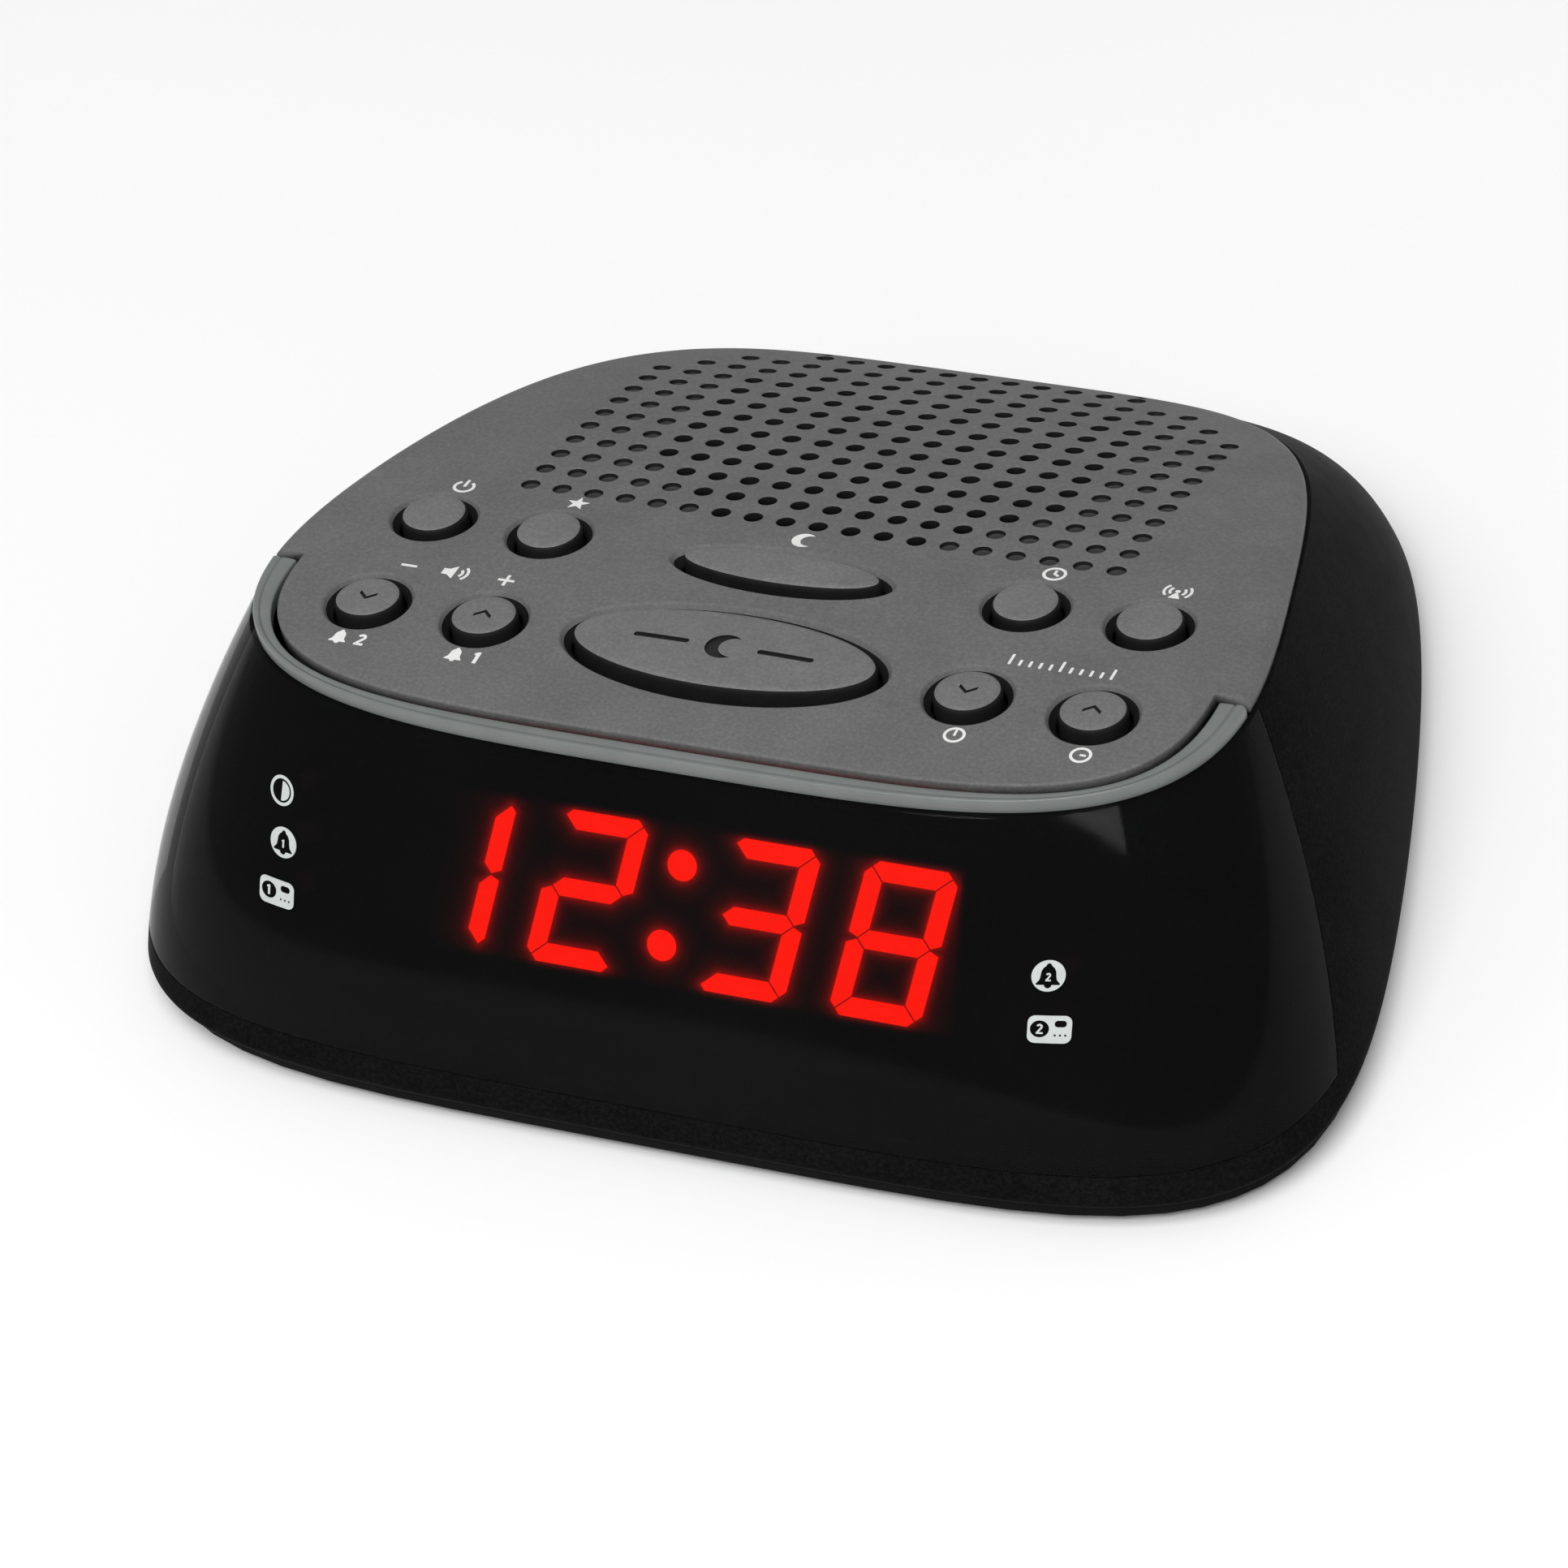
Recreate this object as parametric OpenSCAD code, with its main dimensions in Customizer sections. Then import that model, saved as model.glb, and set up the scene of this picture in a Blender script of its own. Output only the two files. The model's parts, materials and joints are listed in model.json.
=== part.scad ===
// Mains clock radio with a wedge body: a sloping front window for a four
// digit display, an arched top panel with a speaker grille and ten push
// buttons, and a back that falls away behind them.
// Millimetres, +Z up, front towards -Y. The origin is at the middle of the
// footprint, on the surface that the feet stand on.

/* [Body] */
// Half of the depth of the widest outline, front to back
body_half_depth = 57.1; // [56.5:0.1:58]
// Half of the width of the widest outline, near the front
body_half_width = 66.6; // [66:0.1:68]
// Height of the widest outline above the table
belt_z = 4.4; // [4.2:0.1:4.8]
// How much of the side lean is a convex bulge
side_bulge = 0.55; // [0.4:0.05:0.65]
// Wall of the cabinet, measured level
wall = 2.4; // [2.2:0.1:2.6]
// Height of the seam under the front window
seam_z = 7.0; // [6.6:0.1:7.4]

/* [Top panel] */
// Radius of the arch of the top, front to back
top_r = 185; // [184.5:0.1:185.5]
// Thickness of the top panel
panel_t = 1.8; // [1.6:0.1:2]
// Width of the shadow groove between the panel and the trim strip
groove_w = 0.9; // [0.7:0.1:1.1]

/* [Grille] */
// Pitch of the grille holes
grille_pitch = 3.6; // [3.5:0.05:3.6]
// Diameter of a grille hole
grille_d = 2.0; // [1.6:0.1:2.2]
// Number of grille rows, front to back
grille_rows = 13; // [9:1:13]

/* [Buttons] */
// Radius of a round button
cap_r = 3.45; // [3.2:0.05:3.5]
// Height of a button above the panel
cap_proud = 0.6; // [0.4:0.1:0.9]
// Radius of the mouth of a round button's well
well_r = 4.55; // [4.4:0.05:4.6]
// Travel of a button
key_travel = 0.7; // [0.5:0.1:0.8]

/* [Display] */
// Height of a digit
digit_h = 16; // [14:0.2:16]
// Distance from one digit to the next
digit_pitch = 14.4; // [14:0.1:14.6]
// Lean of the digits, in degrees
digit_slant = 11.5; // [8:0.5:12]

/* [Hidden] */
$fn = 48;

N = 80;                 // points around an outline
EPS = 0.01;
arch_y = -35.3;         // axis of the top arch
arch_z = 39.6 - top_r;
face_top = [-38.92, 36.72];   // chord of the front face, Y and Z
face_bot = [-55.84, 7.20];
face_a = atan2(face_top[1] - face_bot[1], face_top[0] - face_bot[0]);
lens_a = 31.63;         // lean of the window's side edges
lens_y = -17.25;
lens_z = 36.25;
step_y = -18.4;         // where the trim strip ends on each side
key_a = 5.8;            // place and lean of the key board on the arch
spk_a = 16.81;           // place and lean of the speaker on the arch
row_f = -7.75;          // rows of round buttons, in the key board's frame
row_b = 7.81;
col_i = 26.17;
col_o = 39.24;
gland_x = 24;           // axis of the cord gland
gland_z = 8.8;
gland_y = 50.6;          // floor of its seat

// One closed outline: a rounded trapezoid with convex sides.
// q = [front y, back y, half width at y = -33.2, taper, taper growth,
//      front squareness, back squareness]
q_base = [-body_half_depth, body_half_depth, body_half_width, 0.146, 0.0014, 4.7, 5.9];
q_top  = [-40.1, 43.8, 56.0, 0.115, 0.0017, 3.8, 4.7];
q_path = [-37.7, 43.8, 52.3, 0.115, 0.0017, 4.6, 4.7];
function inset(q, t) = [q[0] + t, q[1] - t, q[2] - t, q[3], q[4], q[5], q[6]];
function half_w(q, y) = q[2] - q[3] * (y + 33.2) - q[4] * pow(y + 33.2, 2);
function out_pt(q, i) =
  let (a = i * 360 / N - 90, th = a + 6.45 * sin(4 * a),
       c = cos(th), s = sin(th), n = s < 0 ? q[5] : q[6],
       r = pow(pow(abs(c), n) + pow(abs(s), n), -1 / n),
       y = (q[0] + q[1]) / 2 + r * s * (q[1] - q[0]) / 2)
  [r * c * half_w(q, y), y];
function outline(q) = [for (i = [0 : N - 1]) out_pt(q, i)];
// Half width of an outline at a given y
function x_at(q, y) =
  let (u = (y - (q[0] + q[1]) / 2) / ((q[1] - q[0]) / 2), n = u < 0 ? q[5] : q[6])
  half_w(q, y) * pow(1 - pow(abs(u), n), 1 / n);
function arch(y, drop = 0) = arch_z + sqrt(pow(top_r, 2) - pow(y - arch_y, 2)) - drop;

// Rings of the body, from the top edge to the belt. t insets the whole body.
function side_ring(v, t) = [for (i = [0 : N - 1])
  let (a = out_pt(inset(q_top, t), i), b = out_pt(inset(q_base, t), i),
       w = v + side_bulge * v * (1 - v), z0 = arch(out_pt(q_top, i)[1], 1.3))
  [a[0] * (1 - w) + b[0] * w, a[1] * (1 - w) + b[1] * w, z0 * (1 - v) + belt_z * v]];
function flat_ring(q, z) = [for (p = outline(q)) [p[0], p[1], z]];

// Solid through a list of rings, closed top and bottom
module loft(rings) {
  m = len(rings);
  pts = [for (r = rings) for (p = r) p];
  polyhedron(points = pts, faces = concat(
    [[for (i = [N - 1 : -1 : 0]) i]],
    [for (k = [0 : m - 2]) for (i = [0 : N - 1]) let (j = (i + 1) % N)
      each [[k * N + i, (k + 1) * N + j, (k + 1) * N + i], [k * N + i, k * N + j, (k + 1) * N + j]]],
    [[for (i = [0 : N - 1]) (m - 1) * N + i]]), convexity = 6);
}
module body_solid() loft([
  [for (p = side_ring(0, 0)) [p[0], p[1], 50]],
  for (v = [0, 0.16, 0.36, 0.6, 0.82, 1]) side_ring(v, 0),
  flat_ring(inset(q_base, 0.2), 3.6), flat_ring(inset(q_base, 0.7), 2.9)]);
module body_core(t) loft([
  [for (p = side_ring(0, t)) [p[0], p[1], 52]],
  for (v = [0, 0.2, 0.5, 0.8, 1]) side_ring(v, t),
  flat_ring(inset(q_base, t), -4)]);

// Everything below the arch at the given depth
module under_arch(depth) translate([-80, arch_y, arch_z]) rotate([0, 90, 0])
  cylinder(r = top_r - depth, h = 160, $fn = 96);
// Space in front of the window's side edges
module ahead(gap) translate([0, lens_y - gap, lens_z]) rotate([-lens_a, 0, 0])
  translate([-90, -120, -90]) cube([180, 120, 180]);
module above(z) translate([-90, -90, z]) cube([180, 180, 60]);

// Frames of reference
module on_arch(a) translate([0, arch_y + top_r * sin(a), arch_z + top_r * cos(a)]) rotate([-a, 0, 0]) children();
module key_frame() on_arch(key_a) children();
module spk_frame() on_arch(spk_a) children();
// Front face frame: X along the face, Y up the face, Z out of it
module face_frame() translate([0, (face_top[0] + face_bot[0]) / 2, (face_top[1] + face_bot[1]) / 2])
  rotate([face_a, 0, 0]) children();

module ellipse_prism(rx, ry, h) linear_extrude(height = h)
  polygon([for (i = [0 : 63]) [rx * cos(i * 5.625), ry * sin(i * 5.625)]]);
module pan_screw(head_r, head_h, r, l) { // head below, shank upwards
  difference() { cylinder(r = head_r, h = head_h);
    for (a = [0, 90]) rotate(a) translate([-head_r * 0.6, -0.35, -EPS]) cube([head_r * 1.2, 0.7, head_h * 0.5]); }
  translate([0, 0, head_h - EPS]) cylinder(r = r, h = l);
}

// ---------- casing ----------
case_pts = [[54, -24], [-54, -24], [42, 30], [-42, 30]];
foot_pts = [[44, -44], [-44, -44], [34, 44], [-34, 44]];
board_pts = [[13, -31.3], [-40, -30], [22, -4], [-33, -4.5]];

module cabinet() color("#161616") {
  difference() {
    intersection() { body_solid(); under_arch(panel_t); }
    difference() {
      body_core(wall);
      translate([gland_x, gland_y - 3, gland_z]) rotate([-90, 0, 0]) cylinder(r = 6, h = 20);
    }
    intersection() { ahead(0); above(seam_z); }
    // seat of the cord gland, sunk into the leaning back wall
    translate([gland_x, gland_y, gland_z]) rotate([-90, 0, 0]) cylinder(r = 4.4, h = 20);
    translate([gland_x, 40, gland_z]) rotate([-90, 0, 0]) cylinder(r = 3.62, h = 20);
  }
  // deck under the edge of the top panel
  intersection() {
    difference() {
      translate([0, 0, 10]) linear_extrude(height = 32) polygon(outline(inset(q_top, 2.0)));
      translate([0, 0, 5]) linear_extrude(height = 40) polygon(outline(inset(q_path, 3.2)));
    }
    difference() { under_arch(panel_t); under_arch(panel_t + 1.6); }
  }
  // ledges behind the window
  intersection() {
    difference() { body_core(wall - 0.02); body_core(wall + 1.4); }
    union() {
      translate([-80, -80, seam_z - 2]) cube([160, 62, 4]);
      intersection() { ahead(-2.5); difference() { translate([-90, -90, seam_z - 2]) cube([180, 90, 28]); ahead(2.5); } }
    }
  }
  // screw posts and their ribs
  for (p = case_pts) difference() {
    union() {
      translate([p[0], p[1], 3.3]) cylinder(r = 3.4, h = p[1] < 0 ? 13 : 10.7);
      translate([0, p[1] + 0.8, 0]) rotate([90, 0, 0]) linear_extrude(height = 1.6)
        polygon(p[1] < 0 ? [[p[0], 5.2], [sign(p[0]) * 63.5, 5.5], [sign(p[0]) * 61, 16.3], [p[0], 16.3]]
                         : [[p[0], 5.2], [sign(p[0]) * 50.2, 5.5], [sign(p[0]) * 46.6, 14], [p[0], 14]]);
    }
    translate([p[0], p[1], 3]) cylinder(r = 1.4, h = 10);
  }
}

module bottom_cover() color("#121212") difference() {
  union() {
    translate([0, 0, 1.2]) linear_extrude(height = 1.7) polygon(outline(inset(q_base, 1.2)));
    difference() {
      translate([0, 0, 2.8]) linear_extrude(height = 2) polygon(outline(inset(q_base, wall + 0.3)));
      translate([0, 0, 3.2]) linear_extrude(height = 3) polygon(outline(inset(q_base, wall + 1.8)));
    }
    // cell bay and its rails
    translate([-18, 26, 2.8]) cube([36, 26.6, 1.6]);
    translate([-13.4, 27.2, 3]) cube([26.8, 24.6, 6]);
    for (p = board_pts) translate([p[0], p[1], 3]) cylinder(r = 3, h = 5);
    // cradle for the rod aerial
    for (y = [-14, 14]) translate([-46, y - 1.5, 3]) cube([9, 3, 3.2]);
    translate([24.4, -11, 2.8]) cube([23.6, 36, 1.4]);
  }
  // door slot, tongue grooves and the bay itself
  translate([-13.2, 26.8, 1]) cube([26.4, 40, 1.9]);
  translate([-14.8, 26.8, 2.0]) cube([29.6, 40, 0.9]);
  translate([-12, 28.4, 2]) cube([24, 22.2, 5.8]);
  // screws, feet, air slots
  for (p = case_pts) translate([p[0], p[1], 0]) { translate([0, 0, 1]) cylinder(r = 1.6, h = 5); translate([0, 0, 1]) cylinder(r = 3.2, h = 1.4); }
  for (p = foot_pts) translate([p[0], p[1], 1]) cylinder(r = 5.1, h = 0.6);
  for (p = board_pts) translate([p[0], p[1], 3.4]) cylinder(r = 1.15, h = 6);
  for (i = [0 : 3]) for (x = [20, -33.8]) translate([x + i * 4, -36, 1]) cube([1.8, 16, 3]);
  for (y = [-8.3, 22.3]) translate([36.5, y, 2.2]) cylinder(r = 1.15, h = 4);
  translate([gland_x - 7.2, 46, 2.9]) cube([14.4, 12, 4]);
  // seats of the rod holders
  translate([-45.55, -16, 4.5]) cube([8.1, 32, 5]);
}

module front_lens() color("#0c0c0c") intersection() {
  difference() { body_solid(); body_core(1.6); }
  under_arch(panel_t + 0.05);
  ahead(0.15);
  above(seam_z + 0.1);
}

module trim_strip() color("#8b8f8d") intersection() {
  difference() {
    translate([0, 0, 20]) linear_extrude(height = 22) polygon(outline(inset(q_top, 0.05)));
    translate([0, 0, 15]) linear_extrude(height = 30) polygon(outline(inset(q_path, -groove_w / 2)));
    under_arch(panel_t);
  }
  under_arch(0.35);
  translate([-80, -80, 20]) cube([160, 80 + step_y - 0.8, 30]);
}

module panel_shape() polygon(concat(
  [for (i = [0 : N - 1]) let (p = out_pt(inset(q_path, groove_w / 2), i)) if (i < N / 2 && p[1] < step_y - 0.4) p],
  [[x_at(inset(q_path, groove_w / 2), step_y), step_y], [x_at(inset(q_top, 0.05), step_y), step_y]],
  [for (i = [0 : N - 1]) let (p = out_pt(inset(q_top, 0.05), i)) if (p[1] > step_y + 0.4) p],
  [[-x_at(inset(q_top, 0.05), step_y), step_y], [-x_at(inset(q_path, groove_w / 2), step_y), step_y]],
  [for (i = [0 : N - 1]) let (p = out_pt(inset(q_path, groove_w / 2), i)) if (i > N / 2 && p[1] < step_y - 0.4) p]));

// Grille columns in row j: the back corners are left off
function col_trim(j) = j < 10 ? 0 : j == 10 ? 1 : j == 11 ? 2 : 4;
// Holes within 24 mm of the middle go through, the others are shallow
function hole_depth(i, j) = norm([i, j - 6]) * grille_pitch < 24.5 ? 3 : 0.65;
module grille_holes() for (j = [0 : grille_rows - 1])
  on_arch(16.5 + (j - 5) * grille_pitch / top_r * 180 / PI)
    for (i = [-9 + col_trim(j) : 9 - col_trim(j)])
      translate([i * grille_pitch, 0, -hole_depth(i, j)]) cylinder(d = grille_d, h = 1 + hole_depth(i, j), $fn = 24);

module key_sites() for (x = [-col_o, -col_i, col_i, col_o]) for (y = [row_f, row_b]) translate([x, y, 0]) children();
post_pts = [[32.7, 0], [-32.7, 0], [20.6, 1.6], [-20.6, 1.6]];
spk_pts = [[17, 17], [-17, 17], [17, -17], [-17, -17]];

module top_panel() color("#5b5c5d") difference() {
  union() {
    intersection() {
      translate([0, 0, 10]) linear_extrude(height = 32) panel_shape();
      difference() { under_arch(0); under_arch(panel_t); }
    }
    // posts for the key board
    intersection() {
      key_frame() for (p = post_pts) translate([p[0], p[1], -10]) cylinder(r = 2.4, h = 9.5);
      under_arch(panel_t - 0.2);
    }
    // ring and posts for the speaker
    intersection() {
      spk_frame() { difference() { translate([0, 0, -3.6]) cylinder(r = 21.7, h = 3); translate([0, 0, -4]) cylinder(r = 18.6, h = 5); }
        for (p = spk_pts) translate([p[0], p[1], -5.2]) cylinder(r = 2.4, h = 4.6); }
      under_arch(panel_t - 0.2);
    }
  }
  grille_holes();
  // button wells: a straight hole with a wide lead-in
  key_frame() {
    key_sites() { translate([0, 0, -4]) cylinder(r = cap_r + 0.3, h = 6); translate([0, 0, -1.3]) cylinder(r1 = cap_r + 0.3, r2 = well_r + 0.35, h = 1.6); }
    translate([0, -7.3, -4]) ellipse_prism(16.6, 6.5, 6);
    translate([0, -7.3, -1.1]) ellipse_prism(17.55, 7.45, 4);
    translate([0, 7.3, -4]) ellipse_prism(11.1, 3.1, 6);
    translate([0, 7.3, -1.1]) ellipse_prism(12.2, 4.1, 4);
    for (p = post_pts) translate([p[0], p[1], -11]) cylinder(r = 1.1, h = 7);
  }
  spk_frame() for (p = spk_pts) translate([p[0], p[1], -6]) cylinder(r = 1.1, h = 3.8);
}

// ---------- buttons ----------
// A chevron cut, pointing up the panel (s = 1) or down it (s = -1)
module chevron(s) for (m = [0, 1]) mirror([m, 0, 0]) translate([0, 0.45 * s, 0]) rotate(-40 * s)
  translate([-0.1, -0.16, 0]) cube([1.15, 0.32, 1]);
module round_button(x, y, s = 0) color("#626364") key_frame() translate([x, y, -0.16]) difference() {
  union() {
    rotate_extrude() polygon([[0, -3.5], [cap_r + 0.9, -3.5], [cap_r + 0.9, -2.8], [cap_r, -2.8],
      [cap_r, cap_proud - 0.3], [cap_r - 0.1, cap_proud - 0.1], [cap_r - 0.3, cap_proud], [0, cap_proud]]);
    translate([0, 0, -6.8]) cylinder(r = 1.6, h = 5);
  }
  if (s != 0) translate([0, 0, cap_proud - 0.25]) chevron(s);
}
module power_button() round_button(-col_o, row_b);
module memory_button() round_button(-col_i, row_b);
module volume_down_button() round_button(-col_o, row_f, -1);
module volume_up_button() round_button(-col_i, row_f, 1);
module set_button() round_button(col_i, row_b);
module band_button() round_button(col_o, row_b);
module tuning_down_button() round_button(col_i, row_f, -1);
module tuning_up_button() round_button(col_o, row_f, 1);
module bar(rx, ry, y) color("#626364") key_frame() translate([0, y, -0.14]) {
  translate([0, 0, -3.5]) ellipse_prism(rx + 1.2, ry + 1.2, 0.75);
  translate([0, 0, -2.8]) ellipse_prism(rx, ry, cap_proud + 2.6);
  translate([0, 0, cap_proud - 0.21]) ellipse_prism(rx - 0.3, ry - 0.3, 0.21);
  translate([0, 0, -6.8]) cylinder(r = 1.6, h = 5);
}
module snooze_bar() bar(16.3, 6.2, -7.3);
module sleep_bar() bar(10.8, 2.8, 7.3);

// ---------- key board ----------
module switch_sites() { key_sites() children(); translate([0, -7.3, 0]) children(); translate([0, 7.3, 0]) children(); }
module key_board() color("#3d6b35") key_frame() difference() {
  translate([-44.5, -11.8, -11.6]) cube([89, 24.8, 1.6]);
  for (p = post_pts) translate([p[0], p[1], -12]) cylinder(r = 1.4, h = 3);
}
module tactile_switches() color("#2b2b2b") key_frame() switch_sites() difference() {
  translate([-3, -3, -10]) cube([6, 6, 3.9]);
  translate([0, 0, -8.1]) cylinder(r = 1.9, h = 3);
}
module key_board_screws() color("#b9bcbe") key_frame() for (p = post_pts)
  translate([p[0], p[1], -13.1]) pan_screw(2.4, 1.5, 1.05, 6);

// ---------- main board ----------
module main_board() color("#8a6a3a") difference() {
  translate([-44, -34, 8]) cube([69, 33, 1.6]);
  for (p = board_pts) translate([p[0], p[1], 7]) cylinder(r = 1.4, h = 4);
  translate([-49, -20, 7]) cube([12.5, 32, 4]);
}
module main_board_screws() color("#b9bcbe") for (p = board_pts)
  translate([p[0], p[1], 11.1]) rotate([180, 0, 0]) pan_screw(2.6, 1.5, 1.1, 6);
module tuner_shield() color("#b7bbb9") difference() {
  translate([-30, -20.5, 9.6]) cube([17, 13, 6]);
  translate([-29.6, -20.1, 9.5]) cube([16.2, 12.2, 5.7]);
  for (i = [0 : 2]) translate([-26 + i * 4.5, -14, 12]) cylinder(r = 1.2, h = 6);
}
module control_chips() color("#1b1c1e") {
  translate([-12, -27, 10.4]) cube([18, 7.5, 2.4]);
  for (i = [0 : 8]) for (y = [-27.6, -19.6]) translate([-11.4 + i * 2, y, 9.6]) cube([0.6, 0.7, 2]);
  translate([-7, -13, 10.2]) cube([10, 4.5, 1.8]);
  for (i = [0 : 6]) for (y = [-13.5, -8.6]) translate([-6.4 + i * 1.3, y, 9.6]) cube([0.5, 0.6, 1.6]);
}
cap_pts = [[10, -25.6, 3.2, 8], [17.5, -25.6, 3.2, 8], [9.4, -9.4, 2.5, 6.5], [15, -8, 2.5, 6.5], [20.4, -14.4, 4, 9], [-36, -24.4, 2.5, 6.5]];
module capacitors() color("#22304f") for (c = cap_pts) translate([c[0], c[1], 9.6]) {
  cylinder(r = c[2] - 0.25, h = 0.6); translate([0, 0, 0.5]) cylinder(r = c[2], h = c[3]); }
module board_headers() color("#e6e2d5") {
  translate([-9, -33.4, 9.6]) cube([18, 3.4, 4]);
  translate([-9, -5.6, 9.6]) cube([18, 3.4, 4]);
}

// ---------- display ----------
disp_y = 3.3;
dz = -1.3;               // front of the display, behind the face's chord
function digit_x(k) = (k - 1.5) * digit_pitch + (k < 2 ? -1.4 : 2.6);
seg_w = 2;
module seg(l, w) polygon([[-l / 2, 0], [-l / 2 + w * 0.42, w / 2], [l / 2 - w * 0.42, w / 2], [l / 2, 0], [l / 2 - w * 0.42, -w / 2], [-l / 2 + w * 0.42, -w / 2]]);
// Segment centres and directions in a digit: a b c d e f g
function seg_at(s) = let (h = digit_h / 2 - seg_w / 2, w = 3.85)
  [[0, h, 0], [w, h / 2, 90], [w, -h / 2, 90], [0, -h, 0], [-w, -h / 2, 90], [-w, h / 2, 90], [0, 0, 0]][s];
module slanted(x) translate([x, disp_y, 0]) multmatrix([[1, tan(digit_slant), 0, 0], [0, 1, 0, 0], [0, 0, 1, 0]]) children();
module segs(grow) for (k = [0 : 3]) slanted(digit_x(k)) for (s = [0 : 6])
  translate([seg_at(s)[0], seg_at(s)[1]]) rotate(seg_at(s)[2]) seg((s == 0 || s == 3 || s == 6 ? 7.5 : digit_h / 2 - seg_w / 2 - 0.3) + grow, seg_w + grow);
module colon(r) for (y = [-4.2, 4.2]) translate([0.6 + y * tan(digit_slant), disp_y + y]) circle(r = r);
module display_board() color("#8a6a3a") face_frame() translate([-47, -13, -9.6]) cube([94, 26.5, 1.6]);
module display_reflector() color("#d9d9d4") face_frame() difference() {
  translate([-31.6, disp_y - 8.9, -8]) cube([63.2, 17.8, 8 + dz]);
  translate([0, 0, dz - 4]) linear_extrude(height = 6) { segs(0); colon(1.6); }
}
module display_segments() color("#e0140c") face_frame() translate([0, 0, dz - 3.9])
  linear_extrude(height = 3.9) { segs(-0.04); colon(1.58); }
led_pts = [[-41.6, 8.5], [-41.6, 3.3], [-41.6, -2.0], [40.7, 3.1], [40.7, -2.1]];
module indicator_leds() color("#c9403a") face_frame() for (p = led_pts) translate([p[0], p[1], -8]) {
  cylinder(r = 1.5, h = 2.4); translate([0, 0, 2.4]) intersection() { sphere(r = 1.5); translate([-2, -2, 0]) cube(4); } }

// Flat cable: a thin strip along a path in the Y-Z plane
function unit(a) = a / norm(a);
function side_of(p, i) = let (d = i == 0 ? p[1] - p[0] : i == len(p) - 1 ? p[i] - p[i - 1] : p[i + 1] - p[i - 1]) [-unit(d)[1], unit(d)[0]];
module ribbon(path, w, t) rotate([90, 0, 90]) linear_extrude(height = w)
  polygon(concat([for (i = [0 : len(path) - 1]) path[i] + side_of(path, i) * t / 2],
                 [for (i = [len(path) - 1 : -1 : 0]) path[i] - side_of(path, i) * t / 2]));
module display_ribbon() color("#c9c9c4") translate([-7, 0, 0])
  ribbon([[-31.7, 13.6], [-31.8, 15.2], [-32.6, 16.6], [-34, 17.2], [-35.6, 17.2], [-36.9, 17.6]], 14, 0.5);
module key_ribbon() color("#c9c9c4") translate([-7, 0, 0])
  ribbon([[-3.9, 13.6], [-4.0, 16], [-5.0, 19], [-5.6, 22], [-5.3, 24.6], [-5.2, 25.65]], 14, 0.5);

// ---------- speaker ----------
module speaker_basket() color("#3a3b3d") spk_frame() difference() {
  union() {
    translate([0, 0, -5.2]) cylinder(r = 21.5, h = 1.6);
    translate([0, 0, -11]) cylinder(r1 = 12.5, r2 = 19.8, h = 5.81);
  }
  translate([0, 0, -10.2]) cylinder(r1 = 11.3, r2 = 18.7, h = 5.01);
  translate([0, 0, -5.2]) cylinder(r = 18.7, h = 3);
  translate([0, 0, -12]) cylinder(r = 6.4, h = 3);
  for (a = [0 : 60 : 300]) rotate(a + 30) translate([15.15, 0, -12]) cylinder(r = 2.35, h = 6);
}
module speaker_magnet() color("#4a4b4e") spk_frame() union() {
  difference() { translate([0, 0, -12.4]) cylinder(r = 11, h = 1.4); translate([0, 0, -13]) cylinder(r = 6.4, h = 3); }
  difference() { translate([0, 0, -16]) cylinder(r = 11.6, h = 3.6); translate([0, 0, -16.5]) cylinder(r = 7.4, h = 5); }
  translate([0, 0, -17]) cylinder(r = 11, h = 1.01);
  translate([0, 0, -16.5]) cylinder(r = 5.4, h = 5.5);
}
module speaker_surround() color("#1d1d1f") spk_frame() rotate_extrude()
  polygon(concat([for (i = [0 : 8]) [16.4 + 2.3 * (1 - cos(i * 22.5)) / 2, -4.6 + 0.75 * sin(i * 22.5)]],
                 [for (i = [8 : -1 : 0]) [16.4 + 2.3 * (1 - cos(i * 22.5)) / 2, -4.95 + 0.75 * sin(i * 22.5)]]));
module speaker_cone() color("#29292b") spk_frame() rotate_extrude()
  polygon([[0, -7.1], [2.6, -7.4], [5.0, -8.4], [5.4, -9.2], [16.38, -4.95], [16.38, -4.55], [5.9, -8.6], [5.3, -7.7], [3.0, -6.6], [0, -6.2]]);
module speaker_screws() color("#b9bcbe") spk_frame() for (p = spk_pts)
  translate([p[0], p[1], -6.9]) pan_screw(3.3, 1.7, 1.05, 2.8);

// ---------- supply ----------
module transformer_core() color("#6c6f72") difference() {
  union() { translate([27.5, -6, 5.4]) cube([18, 26, 17]); translate([29.5, -10.6, 4.2]) cube([14, 35.2, 1.2]); }
  translate([26.5, -1.5, 9]) cube([20, 17, 3.3]);
  translate([26.5, -1.5, 15.5]) cube([20, 17, 3.3]);
  for (y = [-8.3, 22.3]) translate([36.5, y, 3]) cylinder(r = 1.3, h = 4);
}
module transformer_bobbin() color("#c9a23a") difference() {
  translate([25.9, -1.4, 9.1]) cube([21.2, 16.8, 9.6]);
  translate([27.4, -3, 12.2]) cube([18.2, 20, 3.4]);
}
module transformer_screws() color("#b9bcbe") for (y = [-8.3, 22.3])
  translate([36.5, y, 6.6]) rotate([180, 0, 0]) pan_screw(2.1, 1.2, 1.05, 3.1);

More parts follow.
